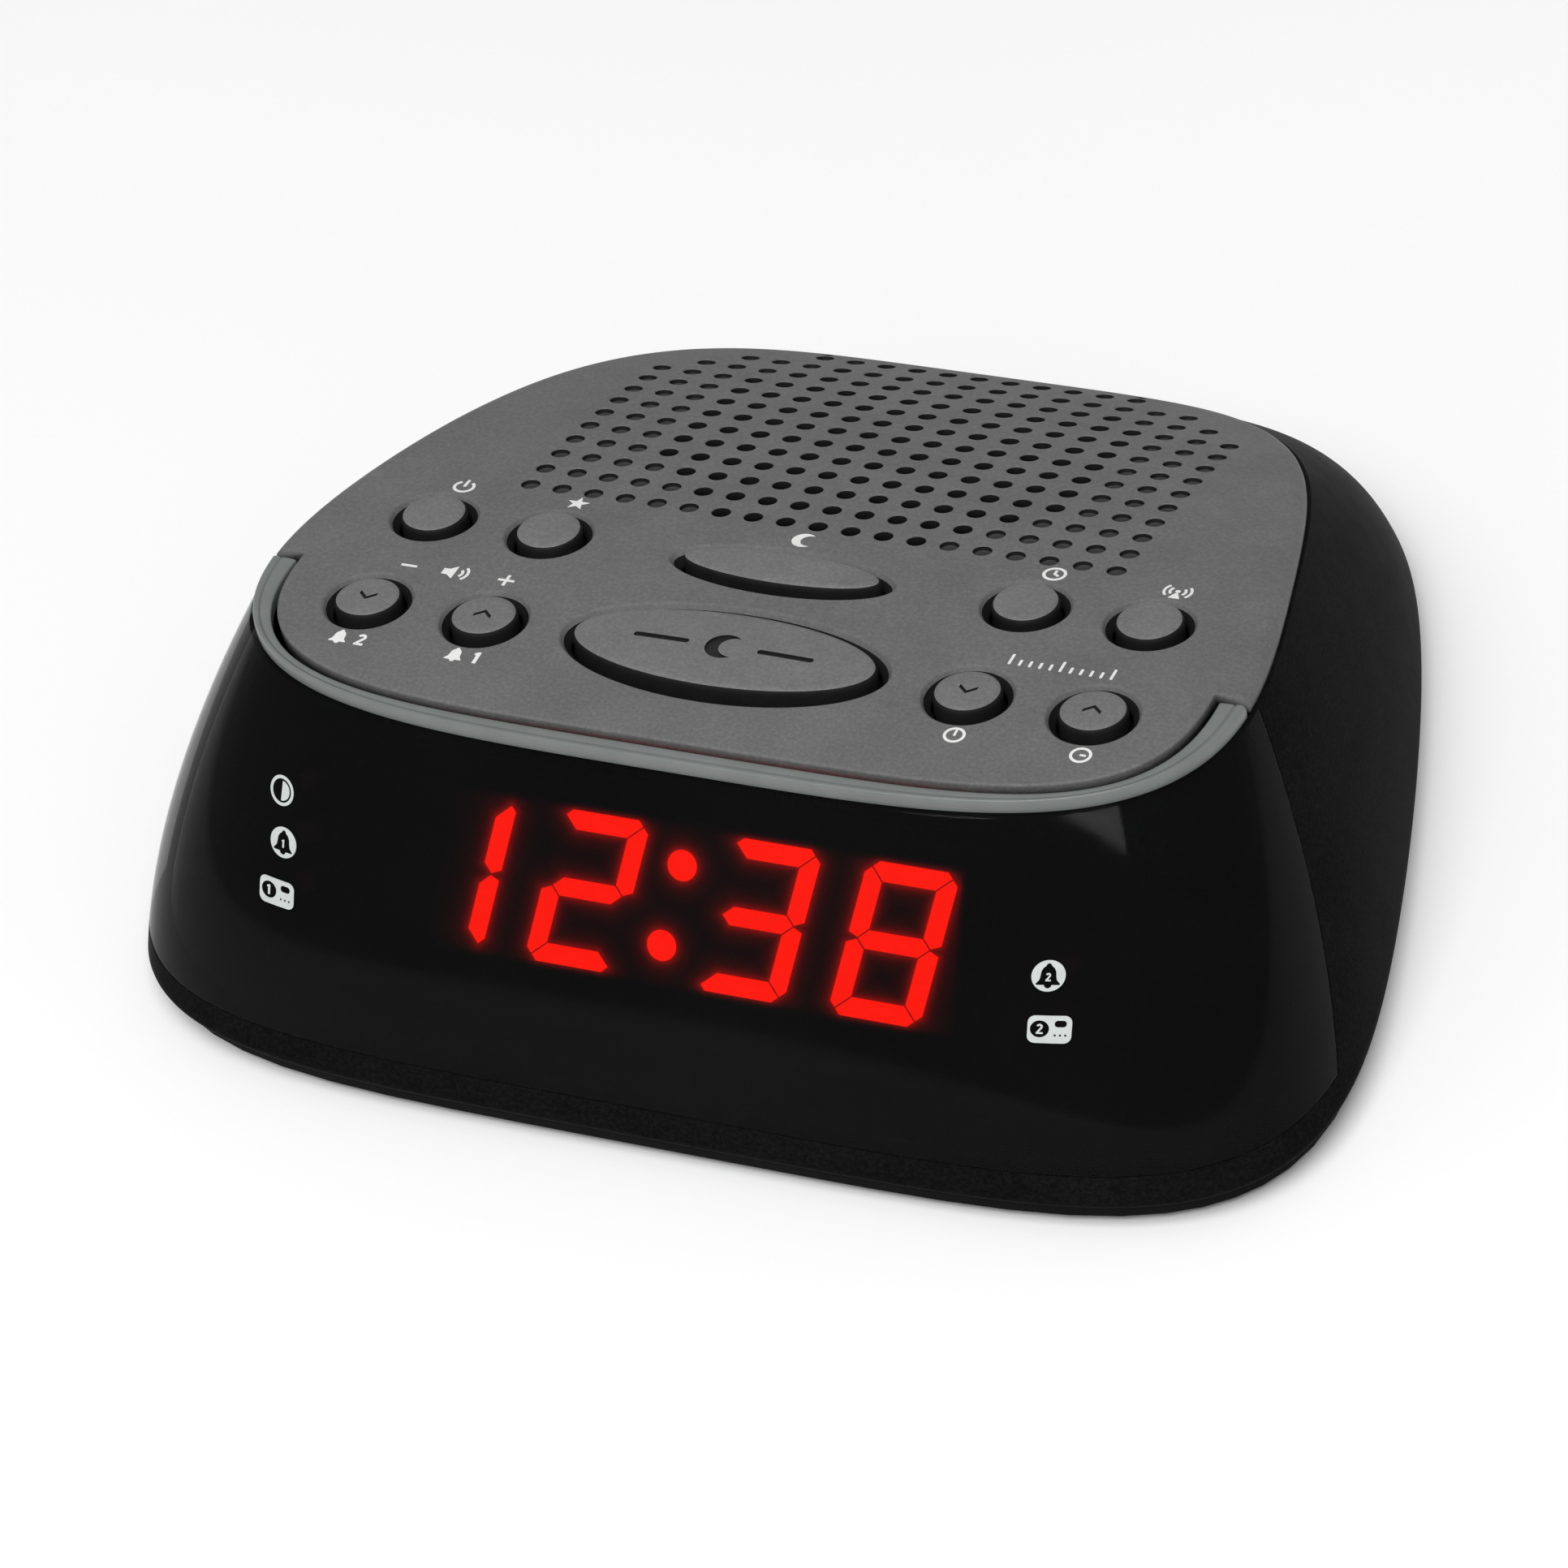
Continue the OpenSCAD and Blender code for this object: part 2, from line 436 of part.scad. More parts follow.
// ---------- aerial ----------
module ferrite_rod() color("#3a3632") translate([-41.5, -18, 14]) rotate([-90, 0, 0]) cylinder(r = 4, h = 44);
module antenna_coil() color("#b4642a") translate([-41.5, -6, 14]) rotate([-90, 0, 0]) difference() {
  cylinder(r = 5.0, h = 12); translate([0, 0, -1]) cylinder(r = 4.02, h = 14); }
module rod_holders() color("#e6e2d5") for (y = [-15.5, 12.5]) translate([-41.5, y, 14]) rotate([-90, 0, 0]) difference() {
  union() { cylinder(r = 5.4, h = 3); translate([-4, 0, 0]) cube([8, 9.4, 3]); }
  translate([0, 0, -1]) cylinder(r = 4.02, h = 5);
}

// ---------- underside and back ----------
module battery_door() color("#141414") difference() {
  union() {
    translate([-13, 27.2, 1.2]) cube([26, 28.7, 1.55]);
    translate([-14.5, 29, 2.1]) cube([29, 21, 0.65]);
  }
  for (i = [0 : 4]) translate([-5, 46 + i * 1.4, 1]) cube([10, 0.7, 0.5]);
}
module cell_contacts() color("#c8cacb") {
  translate([-6, 30.5, 7.4]) cube([12, 14, 0.4]);
  translate([11.4, 34, 3.4]) cube([0.5, 10, 4.3]);
}
module cord_gland() color("#0f0f0f") translate([gland_x, 0, gland_z]) rotate([-90, 0, 0]) difference() {
  union() {
    translate([0, 0, gland_y - 3.6]) cylinder(r = 3.6, h = 3.7);
    translate([0, 0, gland_y]) cylinder(r = 4.1, h = 1.2);
  }
  translate([0, 0, 40]) cylinder(r = 2.1, h = 20);
}
module rubber_feet() color("#232323") for (p = foot_pts) translate([p[0], p[1], 0])
  rotate_extrude() polygon([[0, 0], [4.6, 0], [5, 0.4], [5, 1.6], [0, 1.6]]);
module case_screws() color("#8d9092") for (p = case_pts) translate([p[0], p[1], 1.3]) pan_screw(2.9, 1.1, 1.35, 10);

cabinet();
bottom_cover();
front_lens();
top_panel();
trim_strip();
power_button();
memory_button();
volume_down_button();
volume_up_button();
set_button();
band_button();
tuning_down_button();
tuning_up_button();
snooze_bar();
sleep_bar();
key_board();
tactile_switches();
key_board_screws();
main_board();
main_board_screws();
tuner_shield();
control_chips();
capacitors();
board_headers();
display_board();
display_reflector();
display_segments();
indicator_leds();
display_ribbon();
key_ribbon();
speaker_basket();
speaker_magnet();
speaker_surround();
speaker_cone();
speaker_screws();
transformer_core();
transformer_bobbin();
transformer_screws();
ferrite_rod();
antenna_coil();
rod_holders();
battery_door();
cell_contacts();
cord_gland();
rubber_feet();
case_screws();
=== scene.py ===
import json
import math
import bpy
import bmesh
import numpy as np
from mathutils import Vector, Matrix
from mathutils.geometry import delaunay_2d_cdt

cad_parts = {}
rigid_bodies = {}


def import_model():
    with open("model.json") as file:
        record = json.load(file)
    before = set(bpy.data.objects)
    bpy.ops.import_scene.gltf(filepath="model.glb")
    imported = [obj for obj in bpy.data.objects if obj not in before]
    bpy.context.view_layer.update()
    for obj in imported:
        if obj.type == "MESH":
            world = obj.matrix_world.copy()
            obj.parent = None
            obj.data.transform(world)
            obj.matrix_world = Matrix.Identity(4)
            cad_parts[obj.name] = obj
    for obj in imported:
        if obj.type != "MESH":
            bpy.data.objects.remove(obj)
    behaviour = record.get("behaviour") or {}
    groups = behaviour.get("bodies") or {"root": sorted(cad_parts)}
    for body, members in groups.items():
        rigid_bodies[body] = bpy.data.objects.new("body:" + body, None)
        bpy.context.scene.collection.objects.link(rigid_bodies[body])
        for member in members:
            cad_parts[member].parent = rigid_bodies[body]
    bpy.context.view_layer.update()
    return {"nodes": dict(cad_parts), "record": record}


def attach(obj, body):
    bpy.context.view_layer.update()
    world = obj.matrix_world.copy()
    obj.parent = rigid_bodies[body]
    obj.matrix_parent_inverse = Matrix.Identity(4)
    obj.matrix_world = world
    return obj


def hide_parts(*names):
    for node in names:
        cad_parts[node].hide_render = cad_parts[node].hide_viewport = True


for o in list(bpy.data.objects):
    bpy.data.objects.remove(o)
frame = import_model()
NODE = frame["nodes"]
MM = 0.001

# ------------------------------------------------------------------ materials

def nodes_of(name):
    m = bpy.data.materials.new(name)
    m.use_nodes = True
    nt = m.node_tree
    for n in list(nt.nodes):
        nt.nodes.remove(n)
    out = nt.nodes.new("ShaderNodeOutputMaterial")
    bs = nt.nodes.new("ShaderNodeBsdfPrincipled")
    nt.links.new(bs.outputs[0], out.inputs[0])
    return m, nt, bs


def noise(nt, scale, detail=3.0, rough=0.55, stretch=None):
    tc = nt.nodes.new("ShaderNodeTexCoord")
    src = tc.outputs["Object"]
    if stretch:
        mp = nt.nodes.new("ShaderNodeMapping")
        mp.inputs["Scale"].default_value = stretch
        nt.links.new(src, mp.inputs[0])
        src = mp.outputs[0]
    n = nt.nodes.new("ShaderNodeTexNoise")
    n.inputs["Scale"].default_value = scale
    n.inputs["Detail"].default_value = detail
    n.inputs["Roughness"].default_value = rough
    nt.links.new(src, n.inputs["Vector"])
    return n.outputs["Fac"]


def ramp(nt, fac, stops):
    r = nt.nodes.new("ShaderNodeValToRGB")
    e = r.color_ramp.elements
    while len(e) < len(stops):
        e.new(0.5)
    for k, (p, c) in enumerate(stops):
        e[k].position = p
        e[k].color = (c[0], c[1], c[2], 1)
    nt.links.new(fac, r.inputs[0])
    return r.outputs[0]


def mrange(nt, fac, a, b, lo=0.3, hi=0.7):
    r = nt.nodes.new("ShaderNodeMapRange")
    r.inputs["From Min"].default_value = lo
    r.inputs["From Max"].default_value = hi
    r.inputs["To Min"].default_value = a
    r.inputs["To Max"].default_value = b
    nt.links.new(fac, r.inputs["Value"])
    return r.outputs[0]


def mixrgb(nt, fac, a, b, mode="MIX"):
    m = nt.nodes.new("ShaderNodeMix")
    m.data_type = "RGBA"
    m.blend_type = mode
    for sock, v in ((m.inputs[0], fac), (m.inputs[6], a), (m.inputs[7], b)):
        if isinstance(v, (int, float)):
            sock.default_value = v
        elif isinstance(v, (tuple, list)):
            sock.default_value = (v[0], v[1], v[2], 1)
        else:
            nt.links.new(v, sock)
    return m.outputs[2]


def bump(nt, layers):
    """layers: (height socket, distance in metres, strength)"""
    last = None
    for h, dist, strength in layers:
        b = nt.nodes.new("ShaderNodeBump")
        b.inputs["Distance"].default_value = dist
        b.inputs["Strength"].default_value = strength
        nt.links.new(h, b.inputs["Height"])
        if last is not None:
            nt.links.new(last, b.inputs["Normal"])
        last = b.outputs[0]
    return last


def plastic(name, col, var=0.10, rough=(0.42, 0.55), grain=5200, grain_h=2.2e-5, mottle=160,
            spec=0.5, speck=0.0, speck_scale=2600, coat=0.0, coat_rough=0.2, wear=None, wave=0.0, salt=0.0):
    m, nt, bs = nodes_of(name)
    big = noise(nt, mottle, 4.0)
    fine = noise(nt, grain, 2.0, 0.6)
    lo = [c * (1 - var) for c in col]
    hi = [c * (1 + var) for c in col]
    c = ramp(nt, big, [(0.3, lo), (0.7, hi)])
    c2 = ramp(nt, fine, [(0.3, [1 - 0.8 * var] * 3), (0.7, [1 + 0.0 * var] * 3)])
    c = mixrgb(nt, 1.0, c, c2, "MULTIPLY")
    if salt > 0:
        g = ramp(nt, noise(nt, 2300, 3.0, 0.7), [(0.36, [1 - salt] * 3), (0.50, [1, 1, 1]), (0.66, [1 + 1.6 * salt] * 3)])
        c = mixrgb(nt, 1.0, c, g, "MULTIPLY")
    if speck > 0:
        v = nt.nodes.new("ShaderNodeTexVoronoi")
        v.inputs["Scale"].default_value = speck_scale
        tc = nt.nodes.new("ShaderNodeTexCoord")
        nt.links.new(tc.outputs["Object"], v.inputs["Vector"])
        s = ramp(nt, v.outputs["Distance"], [(0.0, (1, 1, 1)), (0.16, (0, 0, 0))])
        sc = nt.nodes.new("ShaderNodeSeparateColor")
        nt.links.new(s, sc.inputs[0])
        f = mrange(nt, sc.outputs[0], 0.0, speck, 0.0, 1.0)
        c = mixrgb(nt, f, c, [min(1, x * 3 + 0.05) for x in col])
    if wear is not None:
        g = nt.nodes.new("ShaderNodeNewGeometry")
        w = mrange(nt, g.outputs["Pointiness"], 0.0, wear[0], 0.52, 0.60)
        c = mixrgb(nt, w, c, wear[1])
    nt.links.new(c, bs.inputs["Base Color"])
    rr = mrange(nt, noise(nt, mottle * 1.7, 4.0), rough[0], rough[1])
    nt.links.new(rr, bs.inputs["Roughness"])
    bs.inputs["Specular IOR Level"].default_value = spec
    if coat > 0:
        bs.inputs["Coat Weight"].default_value = coat
        bs.inputs["Coat Roughness"].default_value = coat_rough
    layers = [(fine, grain_h, 0.6)]
    if wave > 0:
        layers.insert(0, (noise(nt, 40, 2.0), wave, 0.5))
    nt.links.new(bump(nt, layers), bs.inputs["Normal"])
    return m


def metal(name, col, rough=(0.25, 0.4), brush=None, var=0.08, bump_h=8e-6, rust=None):
    m, nt, bs = nodes_of(name)
    n1 = noise(nt, 900, 3.0, 0.6, stretch=brush)
    n2 = noise(nt, 130, 4.0)
    c = ramp(nt, n2, [(0.3, [x * (1 - var) for x in col]), (0.7, [x * (1 + var) for x in col])])
    if rust is not None:
        c = mixrgb(nt, mrange(nt, noise(nt, 320, 5.0, 0.7), 0.0, 0.5, 0.55, 0.75), c, rust)
    nt.links.new(c, bs.inputs["Base Color"])
    bs.inputs["Metallic"].default_value = 1.0
    nt.links.new(mrange(nt, n1, rough[0], rough[1]), bs.inputs["Roughness"])
    nt.links.new(bump(nt, [(n1, bump_h, 0.5)]), bs.inputs["Normal"])
    return m


def glowing(name, col, strength, base=(0.3, 0.01, 0.005)):
    m, nt, bs = nodes_of(name)
    n = noise(nt, 900, 3.0)
    c = ramp(nt, n, [(0.3, [x * 0.93 for x in col]), (0.7, col)])
    nt.links.new(c, bs.inputs["Emission Color"])
    bs.inputs["Emission Strength"].default_value = strength
    nt.links.new(ramp(nt, n, [(0.3, [x * 0.8 for x in base]), (0.7, base)]), bs.inputs["Base Color"])
    nt.links.new(mrange(nt, noise(nt, 2500, 2.0), 0.35, 0.5), bs.inputs["Roughness"])
    return m


M = {}
M["panel_grey"] = plastic("panel_grey", (0.124, 0.124, 0.125), var=0.07, rough=(0.50, 0.60), grain=4200, grain_h=3.4e-5, mottle=140, spec=0.13, speck=0.10, wave=1.2e-5, salt=0.10)
M["button_grey"] = plastic("button_grey", (0.140, 0.140, 0.141), var=0.07, rough=(0.42, 0.52), grain=4600, grain_h=2.6e-5, mottle=300, spec=0.22, speck=0.08, salt=0.09)
# painted shade: near-black colour on the button skirts, flanges and stems, the deep well walls and the grille hole
# walls, where the real grey plastic lies in shade
M["painted_shade_dark"] = plastic("painted_shade_dark", (0.010, 0.010, 0.0105), var=0.15, rough=(0.55, 0.65), grain=4200, grain_h=2e-5, mottle=300, spec=0.08)
M["trim_grey"] = plastic("trim_grey", (0.150, 0.162, 0.157), var=0.07, rough=(0.30, 0.40), grain=5200, grain_h=8e-6, mottle=220, spec=0.35, coat=0.08, coat_rough=0.2)
M["cabinet_black"] = plastic("cabinet_black", (0.0062, 0.0062, 0.0065), var=0.14, rough=(0.36, 0.40), grain=3600, grain_h=3.0e-5, mottle=170, spec=0.003, speck=0.06, speck_scale=1900, salt=0.30)
M["cover_black"] = plastic("cover_black", (0.0085, 0.0085, 0.009), var=0.12, rough=(0.48, 0.6), grain=3000, grain_h=4.5e-5, mottle=120, spec=0.02)
M["gland_rubber"] = plastic("gland_rubber", (0.013, 0.013, 0.013), var=0.15, rough=(0.6, 0.75), grain=2600, grain_h=3e-5, mottle=300, spec=0.3)
M["foot_rubber"] = plastic("foot_rubber", (0.028, 0.028, 0.028), var=0.15, rough=(0.7, 0.85), grain=2400, grain_h=5e-5, mottle=300, spec=0.25)
M["print_white"] = plastic("print_white", (0.72, 0.72, 0.71), var=0.05, rough=(0.4, 0.5), grain=5200, grain_h=6e-6, mottle=500, spec=0.4)
M["icon_grey"] = plastic("icon_grey", (0.50, 0.53, 0.52), var=0.06, rough=(0.3, 0.4), grain=5200, grain_h=4e-6, mottle=500, spec=0.4)
M["engraved"] = plastic("engraved", (0.012, 0.012, 0.0125), var=0.12, rough=(0.6, 0.7), grain=4200, grain_h=2e-5, mottle=300, spec=0.25)
M["board_green"] = plastic("board_green", (0.035, 0.13, 0.04), var=0.12, rough=(0.25, 0.4), grain=2600, grain_h=1e-5, mottle=420, spec=0.5, coat=0.3)
M["board_brown"] = plastic("board_brown", (0.30, 0.17, 0.07), var=0.14, rough=(0.35, 0.5), grain=1600, grain_h=2e-5, mottle=260, spec=0.45)
M["switch_black"] = plastic("switch_black", (0.025, 0.025, 0.026), var=0.12, rough=(0.4, 0.5), grain=3200, grain_h=2e-5, mottle=600)
M["chip_black"] = plastic("chip_black", (0.02, 0.02, 0.022), var=0.1, rough=(0.5, 0.6), grain=4200, grain_h=2e-5, mottle=700)
M["capacitor_blue"] = plastic("capacitor_blue", (0.02, 0.045, 0.14), var=0.1, rough=(0.22, 0.3), grain=3000, grain_h=6e-6, mottle=500, coat=0.4)
M["header_cream"] = plastic("header_cream", (0.72, 0.67, 0.55), var=0.06, rough=(0.4, 0.5), grain=3000, grain_h=1e-5, mottle=500)
M["reflector_grey"] = plastic("reflector_grey", (0.016, 0.014, 0.014), var=0.1, rough=(0.5, 0.6), grain=3800, grain_h=1e-5, mottle=500, spec=0.3)
M["ribbon_grey"] = plastic("ribbon_grey", (0.5, 0.5, 0.47), var=0.1, rough=(0.35, 0.45), grain=2000, grain_h=1e-5, mottle=500)
M["surround_foam"] = plastic("surround_foam", (0.018, 0.018, 0.020), var=0.2, rough=(0.85, 0.95), grain=1600, grain_h=8e-5, mottle=600, spec=0.2)
M["cone_paper"] = plastic("cone_paper", (0.03, 0.03, 0.033), var=0.22, rough=(0.8, 0.92), grain=900, grain_h=9e-5, mottle=420, spec=0.2)
M["winding_tape"] = plastic("winding_tape", (0.55, 0.36, 0.06), var=0.1, rough=(0.25, 0.35), grain=1500, grain_h=2e-5, mottle=200, coat=0.4)
M["ferrite"] = plastic("ferrite", (0.045, 0.042, 0.040), var=0.15, rough=(0.45, 0.6), grain=1800, grain_h=3e-5, mottle=400)
M["screw_steel"] = metal("screw_steel", (0.55, 0.56, 0.57), (0.25, 0.38))
M["screw_black"] = metal("screw_black", (0.09, 0.09, 0.095), (0.3, 0.45))
M["tin_plate"] = metal("tin_plate", (0.62, 0.64, 0.63), (0.28, 0.42), brush=(1, 8, 1))
M["contact_nickel"] = metal("contact_nickel", (0.68, 0.67, 0.64), (0.12, 0.22))
M["core_iron"] = metal("core_iron", (0.18, 0.18, 0.19), (0.4, 0.55), brush=(1, 1, 20), rust=(0.2, 0.08, 0.03))
M["coil_copper"] = metal("coil_copper", (0.65, 0.27, 0.12), (0.2, 0.3), brush=(1, 30, 1))
M["basket_steel"] = plastic("basket_steel", (0.04, 0.04, 0.045), var=0.12, rough=(0.3, 0.4), grain=3000, grain_h=1e-5, mottle=400, spec=0.6)
M["magnet_grey"] = plastic("magnet_grey", (0.07, 0.07, 0.075), var=0.15, rough=(0.45, 0.6), grain=1500, grain_h=3e-5, mottle=300, spec=0.6)
# painted shade: darker grey on the floors of the shallow grille holes, standing in for the shade in them
M["hole_floor_painted_shade"] = plastic("hole_floor_painted_shade", (0.040, 0.040, 0.041), var=0.15, rough=(0.6, 0.7), grain=4200, grain_h=2e-5, mottle=300, spec=0.1)
M["board_black"] = plastic("board_black", (0.008, 0.0075, 0.007), var=0.12, rough=(0.5, 0.6), grain=2600, grain_h=1e-5, mottle=420, spec=0.1)
M["segment_off"] = plastic("segment_off", (0.035, 0.005, 0.004), var=0.1, rough=(0.4, 0.5), grain=3000, grain_h=8e-6, mottle=500, spec=0.3)
M["led_clear"] = plastic("led_clear", (0.16, 0.03, 0.025), var=0.1, rough=(0.15, 0.2), grain=3000, grain_h=2e-6, mottle=500, spec=0.5, coat=0.5, coat_rough=0.05)
M["segment_lit"] = glowing("segment_lit", (1.0, 0.0075, 0.0012), 13.0)


def lens_material():
    m, nt, bs = nodes_of("window_black")
    big = noise(nt, 55, 3.0)
    fine = noise(nt, 3000, 2.0)
    nt.links.new(ramp(nt, big, [(0.3, (0.0026, 0.0026, 0.0029)), (0.7, (0.0036, 0.0036, 0.0038))]), bs.inputs["Base Color"])
    nt.links.new(mrange(nt, noise(nt, 240, 4.0), 0.055, 0.085), bs.inputs["Roughness"])
    bs.inputs["Specular IOR Level"].default_value = 0.07
    bs.inputs["Alpha"].default_value = 0.72
    nt.links.new(bump(nt, [(big, 2.2e-5, 0.35), (fine, 6e-7, 0.35)]), bs.inputs["Normal"])
    m.surface_render_method = "BLENDED"
    return m


M["window_black"] = lens_material()


def halo_material():
    """The film in front of the display: black, with the light of the lit segments spread in it."""
    m, nt, bs = nodes_of("display_film")
    at = nt.nodes.new("ShaderNodeAttribute")
    at.attribute_name = "glow"
    n = noise(nt, 700, 3.0)
    f = mrange(nt, n, 0.9, 1.08)
    mul = nt.nodes.new("ShaderNodeMath")
    mul.operation = "MULTIPLY"
    nt.links.new(at.outputs["Fac"], mul.inputs[0])
    nt.links.new(f, mul.inputs[1])
    c = ramp(nt, mul.outputs[0], [(0.0, (0, 0, 0)), (0.5, (0.5, 0.0050, 0.002)), (1.0, (1.0, 0.0100, 0.004))])
    nt.links.new(c, bs.inputs["Emission Color"])
    bs.inputs["Emission Strength"].default_value = 11.6
    nt.links.new(ramp(nt, noise(nt, 400, 3.0), [(0.3, (0.010, 0.009, 0.009)), (0.7, (0.014, 0.012, 0.012))]), bs.inputs["Base Color"])
    nt.links.new(mrange(nt, noise(nt, 2500, 2.0), 0.5, 0.6), bs.inputs["Roughness"])
    bs.inputs["Specular IOR Level"].default_value = 0.2
    return m


M["display_film"] = halo_material()

# ------------------------------------------------------------------ the form, in mm

TR, AY = 185.0, -35.3
AZ = 39.6 - TR
QB = (-57.1, 57.1, 66.6, 0.146, 0.0014, 4.7, 5.9)
QT = (-40.1, 43.8, 56.0, 0.115, 0.0017, 3.8, 4.7)
QP = (-37.7, 43.8, 52.3, 0.115, 0.0017, 4.6, 4.7)
BELT, SEAM, STEP = 4.4, 7.0, -18.4
LY, LZ, LT = -17.25, 36.25, math.tan(math.radians(31.63))
FACE_A = math.atan2(36.72 - 7.20, -38.92 + 55.84)
FACE_M = ((-38.92 - 55.84) / 2, (36.72 + 7.20) / 2)


def inset(q, t):
    return (q[0] + t, q[1] - t, q[2] - t) + tuple(q[3:])


def out(q, phi):
    """phi in degrees from the front middle, towards +X. Returns x, y arrays."""
    a = np.asarray(phi, float) - 90
    th = np.radians(a + 6.45 * np.sin(np.radians(4 * a)))
    c, s = np.cos(th), np.sin(th)
    n = np.where(s < 0, q[5], q[6])
    r = (np.abs(c) ** n + np.abs(s) ** n) ** (-1 / n)
    y = (q[0] + q[1]) / 2 + r * s * (q[1] - q[0]) / 2
    hw = q[2] - q[3] * (y + 33.2) - q[4] * (y + 33.2) ** 2
    return r * c * hw, y


def arch(y, drop=0.0):
    return AZ + np.sqrt(TR ** 2 - (np.asarray(y, float) - AY) ** 2) - drop


def side(phi, v, t=0.0):
    xt, yt = out(inset(QT, t), phi)
    xb, yb = out(inset(QB, t), phi)
    z0 = arch(out(QT, phi)[1], 1.3)
    w = v + 0.55 * v * (1 - v)
    return np.stack([xt * (1 - w) + xb * w, yt * (1 - w) + yb * w, z0 * (1 - v) + BELT * v], -1)


def v_at_z(phi, z):
    z0 = arch(out(QT, phi)[1], 1.3)
    return (z0 - z) / (z0 - BELT)


def v_at_top(phi, drop, t=0.0):
    """v where the side surface meets the arch at the given drop"""
    phi = np.asarray(phi, float)
    lo, hi = np.full(phi.shape, -0.2), np.full(phi.shape, 0.6)
    for _ in range(40):
        m = (lo + hi) / 2
        p = side(phi, m, t)
        above = p[..., 2] > arch(p[..., 1], drop)
        lo, hi = np.where(above, m, lo), np.where(above, hi, m)
    return (lo + hi) / 2


def spread(n, near=(0.004, 0.012, 0.028)):
    """positions 0..1, with support rows close to both ends"""
    mid = np.linspace(0, 1, n + 1)[1:-1]
    mid = mid[(mid > near[-1] * 1.4) & (mid < 1 - near[-1] * 1.4)]
    return np.concatenate([[0], near, mid, [1 - x for x in near[::-1]], [1]])


# arch coordinates: x, s along the arch, h out of it
def on_arch(x, s, h=0.0):
    a = np.asarray(s, float) / TR
    return np.stack([np.asarray(x, float) + 0 * a, AY + (TR + h) * np.sin(a), AZ + (TR + h) * np.cos(a)], -1)


def s_of(y, h=0.0):
    return TR * np.arcsin((np.asarray(y, float) - AY) / (TR + h))


KEY_S = TR * math.radians(5.8)
KEY_M = (Matrix.Translation((0, AY + TR * math.sin(math.radians(5.8)), AZ + TR * math.cos(math.radians(5.8))))
         @ Matrix.Rotation(math.radians(-5.8), 4, "X"))
FACE_MX = Matrix.Translation((0, FACE_M[0], FACE_M[1])) @ Matrix.Rotation(FACE_A, 4, "X")


def xf(m, pts):
    a = np.array(m)
    return np.asarray(pts, float) @ a[:3, :3].T + a[:3, 3]


# ------------------------------------------------------------------ mesh helpers

class Build:
    """Vertices and faces of one piece, in mm"""

    def __init__(self):
        self.v, self.f, self.m = [], [], []
        self.n = 0

    def add(self, pts):
        pts = np.asarray(pts, float).reshape(-1, 3)
        self.v.append(pts)
        i = np.arange(self.n, self.n + len(pts))
        self.n += len(pts)
        return i

    def face(self, f, mat=0):
        self.f.append([int(x) for x in f])
        self.m.append(mat)

    def strip(self, a, b, closed=False, flip=False, mat=0):
        """quads between two index rows of equal length"""
        n = len(a)
        for k in range(n if closed else n - 1):
            j = (k + 1) % n
            q = [a[k], a[j], b[j], b[k]]
            self.face(q[::-1] if flip else q, mat)

    def grid(self, rows, closed=False, flip=False, mat=0):
        for r in range(len(rows) - 1):
            self.strip(rows[r], rows[r + 1], closed, flip, mat)


def finish_piece(name, b, mats, body, replaces=(), angle=32, bevel=None, normals=None, merge=True, ride=True):
    me = bpy.data.meshes.new(name)
    v = np.concatenate(b.v) * MM
    me.from_pydata(v.tolist(), [], b.f)
    for m in mats:
        me.materials.append(m)
    me.polygons.foreach_set("material_index", b.m)
    me.update()
    bm = bmesh.new()
    bm.from_mesh(me)
    if merge:
        bmesh.ops.remove_doubles(bm, verts=bm.verts, dist=1e-7)
    bmesh.ops.recalc_face_normals(bm, faces=bm.faces)
    if bevel:
        width, segs, lim = bevel
        ed = [e for e in bm.edges if len(e.link_faces) == 2 and e.calc_face_angle(0) > math.radians(lim)]
        bmesh.ops.bevel(bm, geom=ed, offset=width * MM, segments=segs, profile=0.5, affect="EDGES", clamp_overlap=True, offset_type="OFFSET")
        bmesh.ops.recalc_face_normals(bm, faces=bm.faces)
    bm.to_mesh(me)
    bm.free()
    me.polygons.foreach_set("use_smooth", [True] * len(me.polygons))
    me.set_sharp_from_angle(angle=math.radians(angle))
    o = bpy.data.objects.new(name, me)
    bpy.context.scene.collection.objects.link(o)
    if ride:
        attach(o, body)
    if replaces:
        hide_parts(*replaces)
    return o


def inside(pts, loop):
    """even-odd test of points against one closed loop"""
    x, y = pts[:, 0], pts[:, 1]
    r = np.zeros(len(pts), bool)
    a = np.asarray(loop)
    bb = np.roll(a, -1, 0)
    for (x0, y0), (x1, y1) in zip(a, bb):
        if y0 == y1:
            continue
        c = ((y0 > y) != (y1 > y)) & (x < (x1 - x0) * (y - y0) / (y1 - y0) + x0)
        r ^= c
    return r


